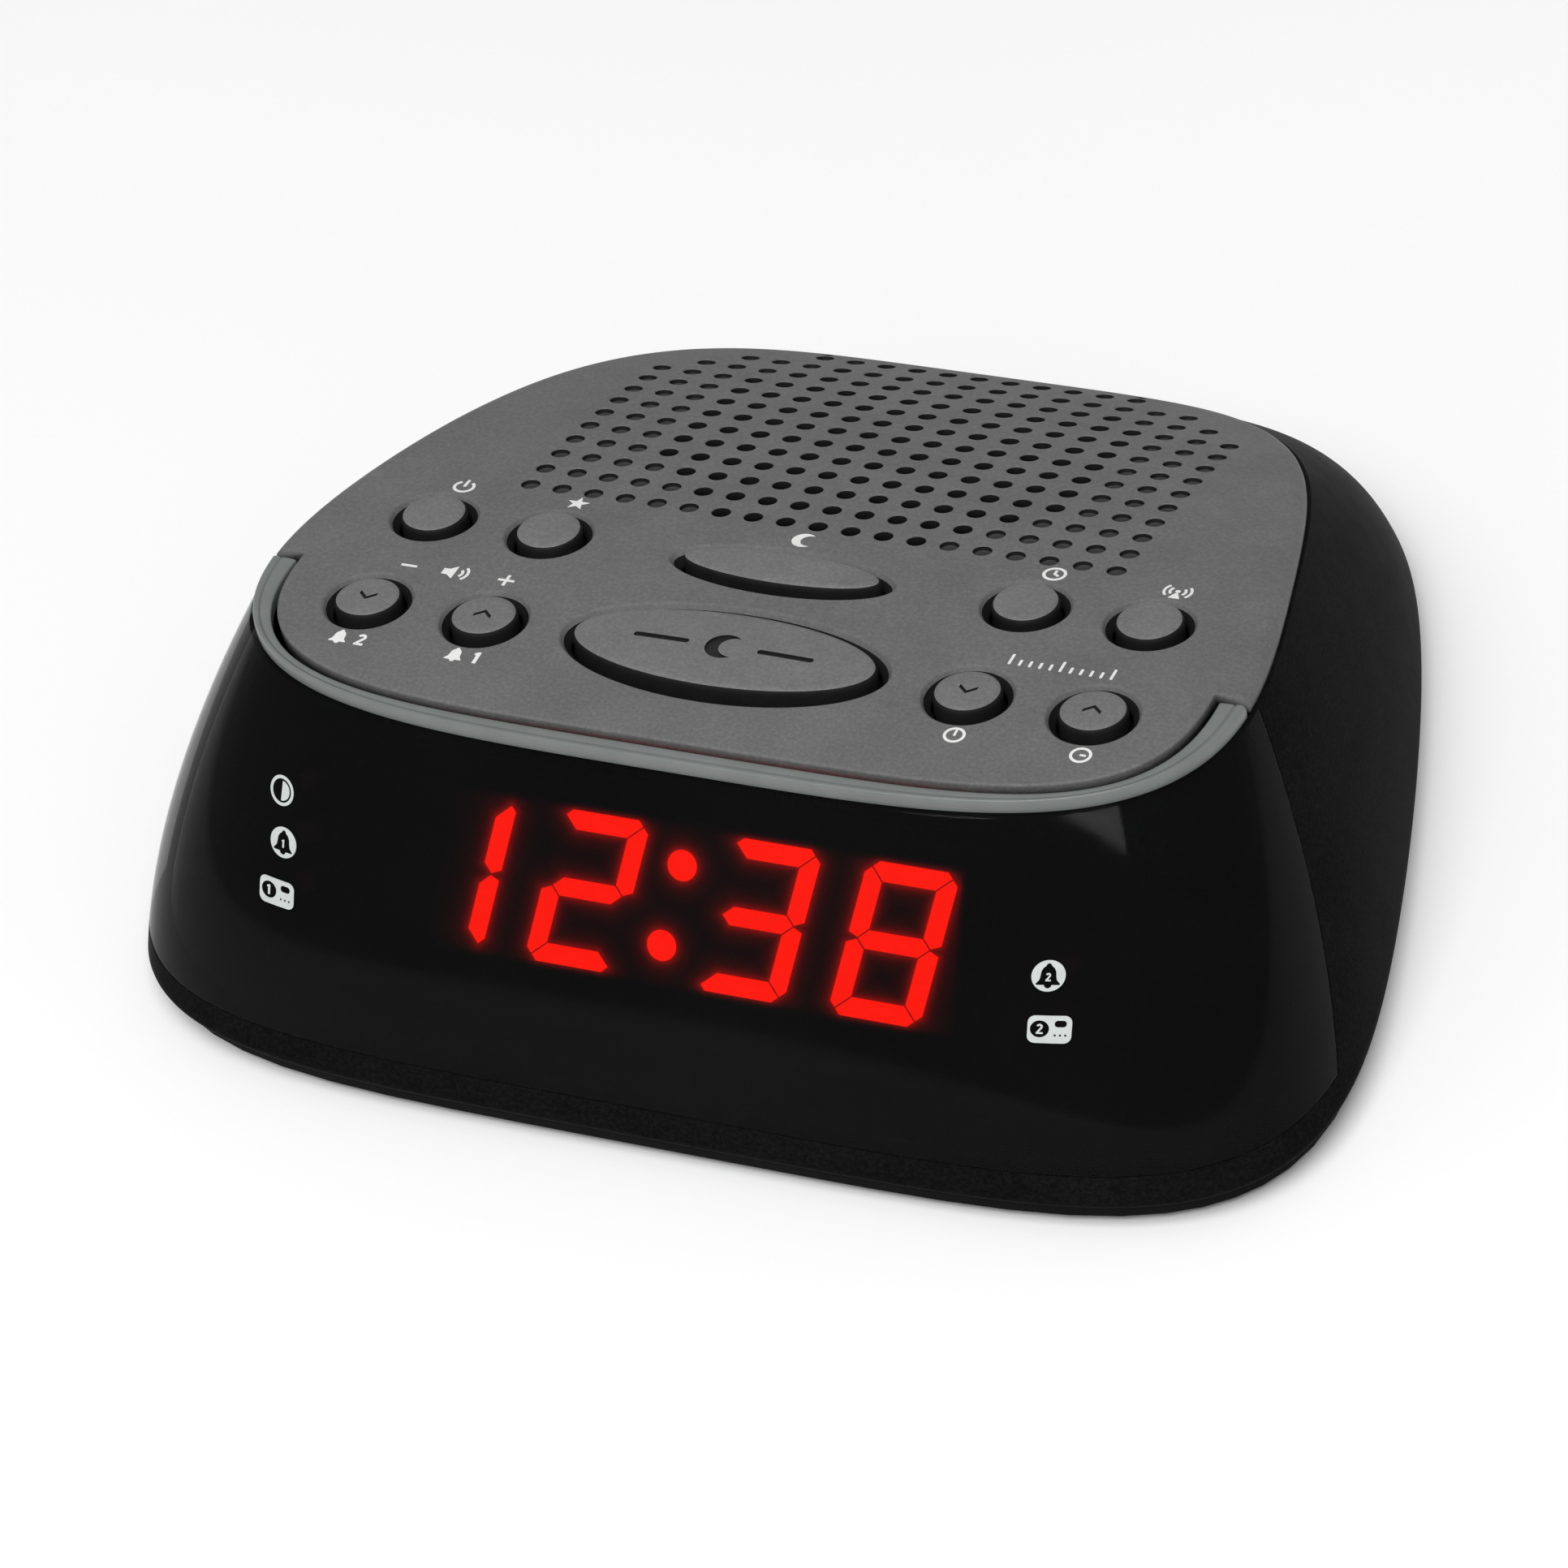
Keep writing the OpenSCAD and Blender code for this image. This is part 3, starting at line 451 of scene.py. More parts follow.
def cdt(loops, extra=None):
    """Triangles between closed loops (even-odd). Returns points (loops first, in order) and triangles."""
    pts = np.concatenate([np.asarray(l, float) for l in loops] + ([np.asarray(extra, float)] if extra is not None and len(extra) else []))
    edges, k = [], 0
    for l in loops:
        n = len(l)
        edges += [(k + i, k + (i + 1) % n) for i in range(n)]
        k += n
    v, e, f, ov, oe, of_ = delaunay_2d_cdt([Vector(p) for p in pts], edges, [], 0, 1e-7)
    back = {}
    for new, olds in enumerate(ov):
        for o in olds:
            back[new] = o
    allp = list(pts)
    for new in range(len(v)):
        if new not in back:
            back[new] = len(allp)
            allp.append(np.array(v[new]))
    tri = np.array([[back[i] for i in t] for t in f])
    allp = np.array(allp)
    cen = allp[tri].mean(1)
    keep = np.zeros(len(tri), bool)
    for l in loops:
        keep ^= inside(cen, l)
    tri = tri[keep]
    a, b_, c = allp[tri[:, 0]], allp[tri[:, 1]], allp[tri[:, 2]]
    area = (b_[:, 0] - a[:, 0]) * (c[:, 1] - a[:, 1]) - (b_[:, 1] - a[:, 1]) * (c[:, 0] - a[:, 0])
    tri[area < 0] = tri[area < 0][:, ::-1]
    return allp, tri[np.abs(area) > 1e-10]


def circle(x, y, r, n, ry=None):
    a = np.linspace(0, 2 * np.pi, n, endpoint=False)
    return np.stack([x + r * np.cos(a), y + (ry or r) * np.sin(a)], -1)


# ------------------------------------------------------------------ window

GAP = 0.15


def edge_phi(sgap, srow_v):
    """phi where the side surface at v crosses the plane of the window's side edge, moved forward by sgap"""
    lo, hi = np.full(len(srow_v), 25.0), np.full(len(srow_v), 110.0)
    for _ in range(44):
        m = (lo + hi) / 2
        p = side(m, srow_v(m) if callable(srow_v) else srow_v)
        front = p[:, 1] < LY - sgap + LT * (p[:, 2] - LZ)
        lo, hi = np.where(front, m, lo), np.where(front, hi, m)
    return (lo + hi) / 2


def row_edge(frac, drop, z_low, gap):
    """edge phi for rows that run from the arch (drop) to z_low, at the given fractions"""
    lo, hi = np.full(len(frac), 25.0), np.full(len(frac), 110.0)
    for _ in range(44):
        m = (lo + hi) / 2
        v = v_at_top(m, drop) * (1 - frac) + v_at_z(m, z_low) * frac
        p = side(m, v)
        front = p[:, 1] < LY - gap + LT * (p[:, 2] - LZ)
        lo, hi = np.where(front, m, lo), np.where(front, hi, m)
    return (lo + hi) / 2


def build_window():
    b = Build()
    rows = spread(26, (0.006, 0.018, 0.04))
    drop, low = 1.86, SEAM + 0.1
    pe = row_edge(rows, drop, low, GAP)
    cols = spread(120, (0.0015, 0.004, 0.009)) * 2 - 1
    outer, inner = [], []
    for r, fr in enumerate(rows):
        phi = pe[r] * cols
        v = v_at_top(phi, drop) * (1 - fr) + v_at_z(phi, low) * fr
        outer.append(b.add(side(phi, v, 0.02)))
        inner.append(b.add(side(phi, v, 1.6)))
    b.grid(outer)
    b.grid(inner, flip=True)
    b.strip(inner[0], outer[0])
    b.strip(outer[-1], inner[-1])
    for k in (0, -1):
        b.strip([r[k] for r in outer], [r[k] for r in inner], flip=(k == 0))
    return finish_piece("window", b, [M["window_black"]], "case", ["front_lens"], bevel=(0.22, 3, 50))


window = build_window()

# ------------------------------------------------------------------ cabinet


def build_cabinet():
    b = Build()
    wall = 2.4
    rows = spread(24, (0.006, 0.018, 0.04))
    drop, low = 1.82, SEAM
    pe = row_edge(rows, drop, low, 0.0)
    cols = spread(200, (0.001, 0.0028, 0.006))
    U, I = [], []
    for r, fr in enumerate(rows):
        phi = pe[r] + (360 - 2 * pe[r]) * cols
        v = v_at_top(phi, drop) * (1 - fr) + v_at_z(phi, low) * fr
        U.append(b.add(side(phi, v, 0.02)))
        I.append(b.add(side(phi, v, wall)))
    fcols = spread(120, (0.0015, 0.004, 0.009))[1:-1] * 2 - 1
    phib = pe[-1] + (360 - 2 * pe[-1]) * cols
    phif = pe[-1] * fcols
    phi = np.concatenate([phib, phif + 360])
    L, LI = [], []
    first = b.add(side(phif, v_at_z(phif, low), 0.02))
    firsti = b.add(side(phif, v_at_z(phif, low), wall))
    L.append(np.concatenate([U[-1], first]))
    LI.append(np.concatenate([I[-1], firsti]))
    for z in (6.9, 6.6, 6.0, 5.2, BELT):
        v = v_at_z(phi, z)
        L.append(b.add(side(phi, v, 0.02)))
        LI.append(b.add(side(phi, v, wall)))
    for t, z, zi in ((0.05, 4.05, 4.05), (0.14, 3.7, 3.92), (0.30, 3.4, 3.8), (0.50, 3.14, 3.65), (0.80, 2.96, 3.45), (1.0, 2.9, 2.9)):
        x, y = out(inset(QB, t), phi)
        L.append(b.add(np.stack([x, y, 0 * x + z], -1)))
        x, y = out(inset(QB, wall), phi)
        LI.append(b.add(np.stack([x, y, 0 * x + zi], -1)))
    b.grid(U)
    b.grid(I, flip=True)
    b.grid(L, closed=True)
    b.grid(LI, closed=True, flip=True)
    b.strip(I[0], U[0])
    b.strip(L[-1], LI[-1], closed=True)
    for k in (0, -1):
        b.strip([r[k] for r in U], [r[k] for r in I], flip=(k == 0))
    # ledge under the window: outer to inner, over the front columns
    a = np.concatenate([[U[-1][-1]], first, [U[-1][0]]])
    c = np.concatenate([[I[-1][-1]], firsti, [I[-1][0]]])
    b.strip(a, c, flip=True)
    return b


def build_deck():
    """the deck under the edge of the top panel, let 0.1 mm into the wall"""
    b = Build()
    ph = np.linspace(0, 360, 181)[:-1]
    xo, yo = out(inset(QT, 2.3), ph)
    xi, yi = out(inset(QP, 3.2), ph)
    d = [b.add(np.stack([x, y, arch(y, dr)], -1)) for x, y, dr in ((xo, yo, 1.84), (xi, yi, 1.84), (xi, yi, 3.4), (xo, yo, 3.4))]
    for k in range(4):
        b.strip(d[k], d[(k + 1) % 4], closed=True, flip=True)
    return b


cab = finish_piece("cabinet_shell", build_cabinet(), [M["cabinet_black"]], "case", ["cabinet"], bevel=(0.18, 2, 55), ride=False)
finish_piece("panel_deck", build_deck(), [M["cabinet_black"]], "case", bevel=(0.18, 2, 55))


def boolean(o, cutter, op="DIFFERENCE"):
    md = o.modifiers.new("cut", "BOOLEAN")
    md.operation = op
    md.solver = "EXACT"
    md.object = cutter
    bpy.context.view_layer.update()
    dg = bpy.context.evaluated_depsgraph_get()
    me = bpy.data.meshes.new_from_object(o.evaluated_get(dg), preserve_all_data_layers=True, depsgraph=dg)
    o.modifiers.remove(md)
    old = o.data
    o.data = me
    bpy.data.meshes.remove(old)
    bpy.data.objects.remove(cutter)


def cyl_obj(x, y0, y1, z, prof_r, n=64):
    """solid of revolution along +Y through (x, z): prof_r is [(y, r)...]"""
    b = Build()
    rings = []
    for y, r in prof_r:
        a = np.linspace(0, 2 * np.pi, n, endpoint=False)
        rings.append(b.add(np.stack([x + r * np.cos(a), 0 * a + y, z + r * np.sin(a)], -1)))
    b.grid(rings, closed=True)
    b.face(rings[0][::-1])
    b.face(rings[-1])
    me = bpy.data.meshes.new("cutter")
    me.from_pydata((np.concatenate(b.v) * MM).tolist(), [], b.f)
    bm = bmesh.new()
    bm.from_mesh(me)
    bmesh.ops.recalc_face_normals(bm, faces=bm.faces)
    bm.to_mesh(me)
    bm.free()
    me.update()
    o = bpy.data.objects.new("cutter", me)
    bpy.context.scene.collection.objects.link(o)
    return o


GX, GZ, GY = 24.0, 8.8, 50.6
boolean(cab, cyl_obj(GX, 0, 0, GZ, [(GY, 4.4), (54.6, 4.4), (70, 4.45)]))
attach(cab, "case")
cab.data.polygons.foreach_set("use_smooth", [True] * len(cab.data.polygons))
cab.data.set_sharp_from_angle(angle=math.radians(32))

# the socket that the gland sits in, behind the wall
def wall_y(x, z, t):
    phi = np.linspace(120, 240, 961)
    P = side(phi, v_at_z(phi, z), t)
    k = np.argsort(P[:, 0])
    return float(np.interp(x, P[k, 0], P[k, 1]))


b = Build()
rings = []
for y, r in ((GY, 4.42), (GY, 3.66), (GY - 3.0, 3.66), (GY - 3.0, 5.9), (GY + 0.6, 5.9), (GY + 1.6, 5.1), (GY + 1.6, 4.42)):
    a = np.linspace(0, 2 * np.pi, 64, endpoint=False)
    px, pz = GX + r * np.cos(a), GZ + np.maximum(r * np.sin(a), 3.0 - GZ)
    py = np.array([min(y, wall_y(u, w, 1.2)) for u, w in zip(px, pz)])
    rings.append(b.add(np.stack([px, py, pz], -1)))
b.grid(rings + [rings[0]], closed=True)
socket = finish_piece("gland_socket", b, [M["cabinet_black"]], "case")

# ------------------------------------------------------------------ top panel

PITCH = 3.6


def col_trim(j):
    return 0 if j < 10 else (1 if j == 10 else (2 if j == 11 else 4))


def panel_loop():
    """outline of the panel, seen from above: points, and for each edge its kind (front, step or side), which
    build_panel turns into a roll-off distance and depth
    """
    qp, qt = inset(QP, 0.10), inset(QT, 0.06)
    phi = np.linspace(0, 180, 721)
    xp, yp = out(qp, phi)
    xt, yt = out(qt, phi)
    fp = phi[yp < STEP - 0.25]
    fp = np.linspace(0, fp[-1], 60)
    ft = phi[yt > STEP + 0.35]
    ft = np.linspace(ft[0], 180, 76)

    def x_at(q, y):
        ph = np.linspace(30, 150, 4001)
        x, yy = out(q, ph)
        return float(np.interp(y, yy, x))

    right = [tuple(p) for p in np.stack(out(qp, fp), -1)]
    kinds = ["front"] * (len(right))          # kind of the edge that starts at the point
    right.append((x_at(qp, STEP), STEP)); kinds.append("step")
    right.append((x_at(qt, STEP), STEP)); kinds.append("side")
    t = [tuple(p) for p in np.stack(out(qt, ft), -1)]
    right += t
    kinds += ["side"] * len(t)
    left = [(-x, y) for x, y in right[1:-1]][::-1]
    # edge kinds of the mirrored half
    lk = []
    n = len(right)
    for k in range(n - 2, 0, -1):
        lk.append(kinds[k - 1])
    pts = np.array(right + left)
    kk = kinds[:n - 1] + ["side"] + lk
    return pts, kk


def offset_dirs(pts, kinds, D):
    """for each vertex, the inward vector that moves both its edges in by their own distance"""
    nxt = np.roll(pts, -1, 0)
    e = nxt - pts
    e /= np.linalg.norm(e, axis=1)[:, None]
    nrm = np.stack([-e[:, 1], e[:, 0]], -1)       # inward for a counter-clockwise loop
    o = np.zeros_like(pts)
    for i in range(len(pts)):
        n1, n2 = nrm[i - 1], nrm[i]
        d1, d2 = D[kinds[i - 1]], D[kinds[i]]
        A = np.array([n1, n2])
        if abs(np.linalg.det(A)) < 0.2:
            d = (d1 + d2) / 2
            o[i] = d * (n1 + n2) / (1 + n1 @ n2)
        else:
            o[i] = np.linalg.solve(A, [d1, d2])
    return o


def build_panel():
    b = Build()
    pts, kinds = panel_loop()
    off = offset_dirs(pts, kinds, {"front": 0.34, "step": 0.30, "side": 1.75})
    H = {"front": 0.26, "step": 0.24, "side": 1.15}
    drop = np.array([max(H[kinds[i - 1]], H[kinds[i]]) for i in range(len(pts))])
    rings = []
    for th in np.radians([0, 18, 36, 54, 72, 90]):
        p = pts + off * (1 - math.sin(th))
        z = arch(p[:, 1]) - drop * (1 - math.cos(th))
        rings.append(b.add(np.stack([p[:, 0], p[:, 1], z], -1)))
    zb = AZ + np.sqrt((TR - 1.8) ** 2 - (pts[:, 1] - AY) ** 2)
    rings.append(b.add(np.stack([pts[:, 0], pts[:, 1], zb], -1)))
    b.grid(rings, closed=True, flip=True)
    n_loop = len(pts)
    p0 = pts + off
    top_loops = [np.stack([p0[:, 0], s_of(p0[:, 1])], -1)]
    low_loops = [np.stack([pts[:, 0], s_of(pts[:, 1], -1.8)], -1)]
    top_idx, low_idx = [rings[0]], [rings[-1]]
    # grille: through holes in the middle, shallow ones round them
    n = 20
    for j in range(13):
        s = TR * math.radians(16.5) + (j - 5) * PITCH
        for i in range(-9 + col_trim(j), 10 - col_trim(j)):
            x = i * PITCH
            deep = math.hypot(i, j - 6) * PITCH < 24.5
            prof = [(1.17, 0.0), (1.09, -0.015), (1.03, -0.06), (1.0, -0.14)]
            rr = []
            for r, h in prof:
                c = circle(x, s, r, n)
                rr.append(b.add(on_arch(c[:, 0], c[:, 1], h)))
            top_loops.append(circle(x, s, prof[0][0], n))
            top_idx.append(rr[0])
            if deep:
                c = circle(x, s, 1.0, n)
                rr.append(b.add(on_arch(c[:, 0], c[:, 1], -1.8)))
                low_loops.append(c)
                low_idx.append(rr[-1])
            else:
                for r, h in ((1.0, -0.55), (0.93, -0.64), (0.5, -0.66)):
                    c = circle(x, s, r, n)
                    rr.append(b.add(on_arch(c[:, 0], c[:, 1], h)))
                b.face(rr[-1], 2)
            b.grid(rr[:4], closed=True)
            # painted shade: below the lip the hole walls are painted near black, and the floors of the shallow holes
            # darker grey
            if deep:
                b.grid(rr[3:], closed=True, mat=1)
            else:
                b.grid(rr[3:5], closed=True, mat=1)
                b.grid(rr[4:], closed=True, mat=2)
    # wells of the buttons
    wells = []
    for x in (-39.24, -26.17, 26.17, 39.24):
        for y in (-7.75, 7.81):
            wells.append((x, KEY_S + y, 56, [(4.95, 4.95, 0), (4.82, 4.82, -0.02), (4.70, 4.70, -0.09), (4.60, 4.60, -0.22), (4.42, 4.42, -0.52), (4.20, 4.20, -0.85), (3.98, 3.98, -1.10), (3.84, 3.84, -1.25), (3.76, 3.76, -1.45), (3.75, 3.75, -1.8)]))
    wells.append((0, KEY_S - 7.3, 120, [(17.95, 7.85, 0), (17.82, 7.72, -0.02), (17.70, 7.60, -0.09), (17.58, 7.48, -0.24), (17.35, 7.25, -0.60), (17.05, 6.95, -0.95), (16.80, 6.70, -1.2), (16.65, 6.55, -1.45), (16.6, 6.5, -1.8)]))
    wells.append((0, KEY_S + 7.3, 96, [(12.55, 4.45, 0), (12.42, 4.32, -0.02), (12.30, 4.20, -0.09), (12.18, 4.08, -0.24), (11.90, 3.80, -0.60), (11.60, 3.52, -0.95), (11.35, 3.30, -1.2), (11.15, 3.15, -1.45), (11.1, 3.1, -1.8)]))
    for x, s, n, prof in wells:
        rr = []
        for rx, ry, h in prof:
            c = circle(x, s, rx, n, ry)
            rr.append(b.add(on_arch(c[:, 0], c[:, 1], h)))
        # painted shade: the lead-in stays panel grey, and the deeper well wall is painted near black
        b.grid(rr[:5], closed=True)
        b.grid(rr[4:], closed=True, mat=1)
        top_loops.append(circle(x, s, prof[0][0], n, prof[0][1]))
        top_idx.append(rr[0])
        low_loops.append(circle(x, s, prof[-1][0], n, prof[-1][1]))
        low_idx.append(rr[-1])
    # free points of the top, on a staggered net, clear of every loop
    gx, gs = np.meshgrid(np.arange(-60, 60.1, 2.4), np.arange(-8, 90, 2.4))
    gx = gx + (np.arange(gx.shape[0])[:, None] % 2) * 1.2
    g = np.stack([gx.ravel(), gs.ravel()], -1)
    ok = inside(g, top_loops[0])
    allp = np.concatenate(top_loops)
    for k in range(0, len(g), 400):
        d = np.min(np.linalg.norm(g[k:k + 400, None] - allp[None], axis=2), axis=1)
        ok[k:k + 400] &= d > 1.1
    for l in top_loops[1:]:
        c = l.mean(0)
        near = np.where(ok & (np.abs(g[:, 0] - c[0]) < 20) & (np.abs(g[:, 1] - c[1]) < 10))[0]
        if len(near):
            ok[near[inside(g[near], l)]] = False
    top_from = None
    for loops, idx, h, free in ((top_loops, top_idx, 0.0, g[ok]), (low_loops, low_idx, -1.8, None)):
        p, tri = cdt(loops, free)
        m = np.concatenate(idx)
        if len(p) > len(m):
            extra = p[len(m):]
            e = b.add(on_arch(extra[:, 0], extra[:, 1], h))
            if top_from is None:
                top_from = e
            m = np.concatenate([m, e])
        for t in tri:
            f = m[t]
            b.face(f if h == 0 else f[::-1])
    flat = np.concatenate([np.concatenate(top_idx), top_from if top_from is not None else []]).astype(int)
    return b, flat


pb, flat_idx = build_panel()
me = bpy.data.meshes.new("top_panel_skin")
pv = np.concatenate(pb.v)
me.from_pydata((pv * MM).tolist(), [], pb.f)
me.materials.append(M["panel_grey"])
me.materials.append(M["painted_shade_dark"])
me.materials.append(M["hole_floor_painted_shade"])
me.polygons.foreach_set("material_index", pb.m)
me.update()
bm = bmesh.new()
bm.from_mesh(me)
# slivers that the triangulation left out
bmesh.ops.holes_fill(bm, edges=[e for e in bm.edges if e.is_boundary], sides=0)
bmesh.ops.recalc_face_normals(bm, faces=bm.faces)
bm.to_mesh(me)
bm.free()
me.polygons.foreach_set("use_smooth", [True] * len(me.polygons))
me.set_sharp_from_angle(angle=math.radians(50))
nv = np.zeros((len(pv), 3))
d = pv[flat_idx][:, 1:] - np.array([AY, AZ])
nv[flat_idx, 1:] = d / np.linalg.norm(d, axis=1)[:, None]
me.normals_split_custom_set_from_vertices(nv.tolist())
panel = bpy.data.objects.new("top_panel_skin", me)
bpy.context.scene.collection.objects.link(panel)
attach(panel, "case")
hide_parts("top_panel")

# posts and speaker ring under the panel
b = Build()


def lathe(b, prof, m=None, n=48, mat=0, cx=0.0, cy=0.0, closed=False):
    """prof: (r, z) from the axis out and back; closed profiles make rings"""
    rings = []
    for r, z in prof:
        a = np.linspace(0, 2 * np.pi, n, endpoint=False)
        p = np.stack([cx + r * np.cos(a), cy + r * np.sin(a), 0 * a + z], -1)
        rings.append(b.add(p if m is None else xf(m, p)))
    b.grid(rings, closed=True, mat=mat)
    if closed:
        b.strip(rings[-1], rings[0], closed=True, mat=mat)
    else:
        b.face(rings[0][::-1], mat)
        b.face(rings[-1], mat)


SPK_A = math.radians(16.81)
SPK_M = Matrix.Translation((0, AY + TR * math.sin(SPK_A), AZ + TR * math.cos(SPK_A))) @ Matrix.Rotation(-SPK_A, 4, "X")
for x, y in ((32.7, 0), (-32.7, 0), (20.6, 1.6), (-20.6, 1.6)):
    lathe(b, [(1.12, -9.95), (2.3, -9.95), (2.4, -9.8), (2.4, -1.9), (1.12, -1.9)], KEY_M, 32, cx=x, cy=y, closed=True)
for x in (-17, 17):
    for y in (-17, 17):
        lathe(b, [(1.12, -5.15), (2.3, -5.15), (2.4, -5.0), (2.4, -2.7), (1.12, -2.7)], SPK_M, 32, cx=x, cy=y, closed=True)
lathe(b, [(18.6, -3.58), (21.7, -3.58), (21.7, -3.1), (18.6, -3.1)], SPK_M, 96, closed=True)
finish_piece("panel_posts", b, [M["panel_grey"]], "case", merge=False)

# ------------------------------------------------------------------ trim strip


def build_trim():
    b = Build()
    qi, qo = inset(QP, -0.45), inset(QT, 0.05)
    yend = STEP - 0.8

    def phi_end(q):
        ph = np.linspace(20, 100, 4001)
        x, y = out(q, ph)
        return float(np.interp(yend, y, ph))

    pi_, po = phi_end(qi), phi_end(qo)
    t = spread(150, (0.0012, 0.003, 0.007)) * 2 - 1
    xi, yi = out(qi, pi_ * t)
    xo, yo = out(qo, po * t)
    prof = [(0.0, -1.8), (0.0, -0.75), (0.015, -0.62), (0.05, -0.52), (0.11, -0.47), (0.30, -0.43), (0.50, -0.42), (0.555, -0.45), (0.585, -0.56), (0.615, -0.57),
            (0.645, -0.46), (0.69, -0.39), (0.76, -0.36), (0.86, -0.37), (0.92, -0.44), (0.965, -0.60), (0.99, -0.82), (1.0, -1.05), (1.0, -1.8)]
    rows = []
    for u, h in prof:
        x, y = xi * (1 - u) + xo * u, yi * (1 - u) + yo * u
        rows.append(b.add(np.stack([x, y, arch(y, -h)], -1)))
    b.grid(rows, flip=True)
    b.strip(rows[-1], rows[0], flip=True)
    b.face([r[0] for r in rows])
    b.face([r[-1] for r in rows][::-1])
    return finish_piece("trim_band", b, [M["trim_grey"]], "case", ["trim_strip"], angle=40)


trim = build_trim()

# ------------------------------------------------------------------ buttons

PROUD = 0.6


def chevron_loop(s):
    """outline of a chevron that points up (s = 1) or down (s = -1)"""
    w, hh, t = 0.95, 0.86, 0.36
    k = t * math.hypot(w, hh) / w
    pts = [(-w, -hh / 2), (0, hh / 2), (w, -hh / 2), (w, -hh / 2 - k), (0, hh / 2 - k), (-w, -hh / 2 - k)]
    pts = np.array(pts) + np.array([0, k / 2])
    pts[:, 1] *= s
    return pts[::-1] if s > 0 else pts


def densify(loop, d):
    out_ = []
    n = len(loop)
    for i in range(n):
        a, c = np.array(loop[i]), np.array(loop[(i + 1) % n])
        k = max(1, int(math.ceil(np.linalg.norm(c - a) / d)))
        out_ += [a + (c - a) * j / k for j in range(k)]
    return np.array(out_)


def ellipse_button(b, rx, ry, n, shaft, engrave=(), crown=0.10, dish=0.0, flange=(1.0, 1.0), m=None, depth=0.24):
    """A push button standing on its flange and stem. rx, ry: half sizes of the cap."""
    def ring(dx, z, extra=0.0):
        c = circle(0, 0, rx - dx + extra, n, ry - dx + extra)
        return c, z

    def zt(p):
        rho = (p[:, 0] / rx) ** 2 + (p[:, 1] / ry) ** 2
        return PROUD + crown * (1 - rho) - crown * 0.2 - dish * np.exp(-rho * 3)

    prof = [(1.05, None), (0.80, -0.005), (0.58, -0.03), (0.38, -0.085), (0.22, -0.18), (0.10, -0.32), (0.03, -0.50), (0.0, -0.75), (0.0, -2.8 - PROUD)]
    rows = []
    for dx, dz in prof:
        c = circle(0, 0, rx - dx, n, ry - dx)
        if dz is None:
            z = zt(c)
        elif dz < -1:
            z = np.full(n, -2.8)
        else:
            z = zt(c) + dz
            z = np.maximum(z, -2.8)
        rows.append(b.add(xf(m, np.stack([c[:, 0], c[:, 1], z], -1))))
    for ex, z in ((0.9 if rx < 5 else 1.2, -2.8), (0.9 if rx < 5 else 1.2, -3.5)):
        c = circle(0, 0, rx + ex, n, ry + ex)
        rows.append(b.add(xf(m, np.stack([c[:, 0], c[:, 1], np.full(n, z)], -1))))
    c = circle(0, 0, 1.6, n)
    rows.append(b.add(xf(m, np.stack([c[:, 0], c[:, 1], np.full(n, -3.5)], -1))))
    rows.append(b.add(xf(m, np.stack([c[:, 0], c[:, 1], np.full(n, -6.7)], -1))))
    rows.append(b.add(xf(m, np.stack([c[:, 0] * 0.9, c[:, 1] * 0.9, np.full(n, -6.8)], -1))))
    # painted shade: the rounded top edge stays button grey, and the cap's side, flange and stem are painted near black
    b.grid(rows[:5], closed=True, flip=True)
    b.grid(rows[4:], closed=True, flip=True, mat=2)
    b.face(rows[-1], 2)
    # top, with the engraving
    outer = circle(0, 0, rx - 1.05, n, ry - 1.05)
    loops = [outer] + [densify(l, 0.5) for l in engrave]
    step = 0.8 if rx < 5 else 1.1
    gx, gy = np.meshgrid(np.arange(-rx, rx, step), np.arange(-ry, ry, step))
    g = np.stack([gx.ravel(), gy.ravel()], -1)
    ok = inside(g, outer)
    allp = np.concatenate(loops)
    dd = np.min(np.linalg.norm(g[:, None] - allp[None], axis=2), axis=1)
    g = g[ok & (dd > 0.35)]
    p, tri = cdt(loops, g)
    # the top: the outer ring, the rims of the engravings and the free points, all at the height of the top
    base = [rows[0]]
    k = n
    for l in loops[1:]:
        q = l
        base.append(b.add(xf(m, np.stack([q[:, 0], q[:, 1], zt(q)], -1))))
    free = p[sum(len(l) for l in loops):]
    idx = np.concatenate(base + [b.add(xf(m, np.stack([free[:, 0], free[:, 1], zt(free)], -1)))] if len(free) else base)
    for t in tri:
        b.face(idx[t])
    # nested loops: cut walls go down from each loop, floors fill the engraved regions
    cut = loops[1:]
    if cut:
        fp, ft = cdt(cut)
        ff = b.add(xf(m, np.stack([fp[:, 0], fp[:, 1], zt(fp) - depth], -1)))
        for t in ft:
            b.face(ff[t], 1)
        k = 0
        for l, top in zip(cut, base[1:]):
            low = ff[k:k + len(l)]
            b.strip(top, low, closed=True, mat=1)
            k += len(l)


def moon(x, y, r, n=40):
    """a crescent, open to the right"""
    a = np.linspace(math.radians(50), math.radians(310), n)
    o_ = np.stack([x + r * np.cos(a), y + r * np.sin(a)], -1)
    cx, rr = x + 0.52 * r, 0.80 * r
    s0, s1 = o_[0], o_[-1]
    a0, a1 = math.atan2(s1[1] - y, s1[0] - cx), math.atan2(s0[1] - y, s0[0] - cx)
    r0 = math.hypot(s0[0] - cx, s0[1] - y)
    if a0 < 0:
        a0 += 2 * math.pi
    b_ = np.linspace(a0, a1, n)[1:-1]
    i_ = np.stack([cx + r0 * np.cos(b_), y + r0 * np.sin(b_)], -1)
    return np.concatenate([o_, i_])


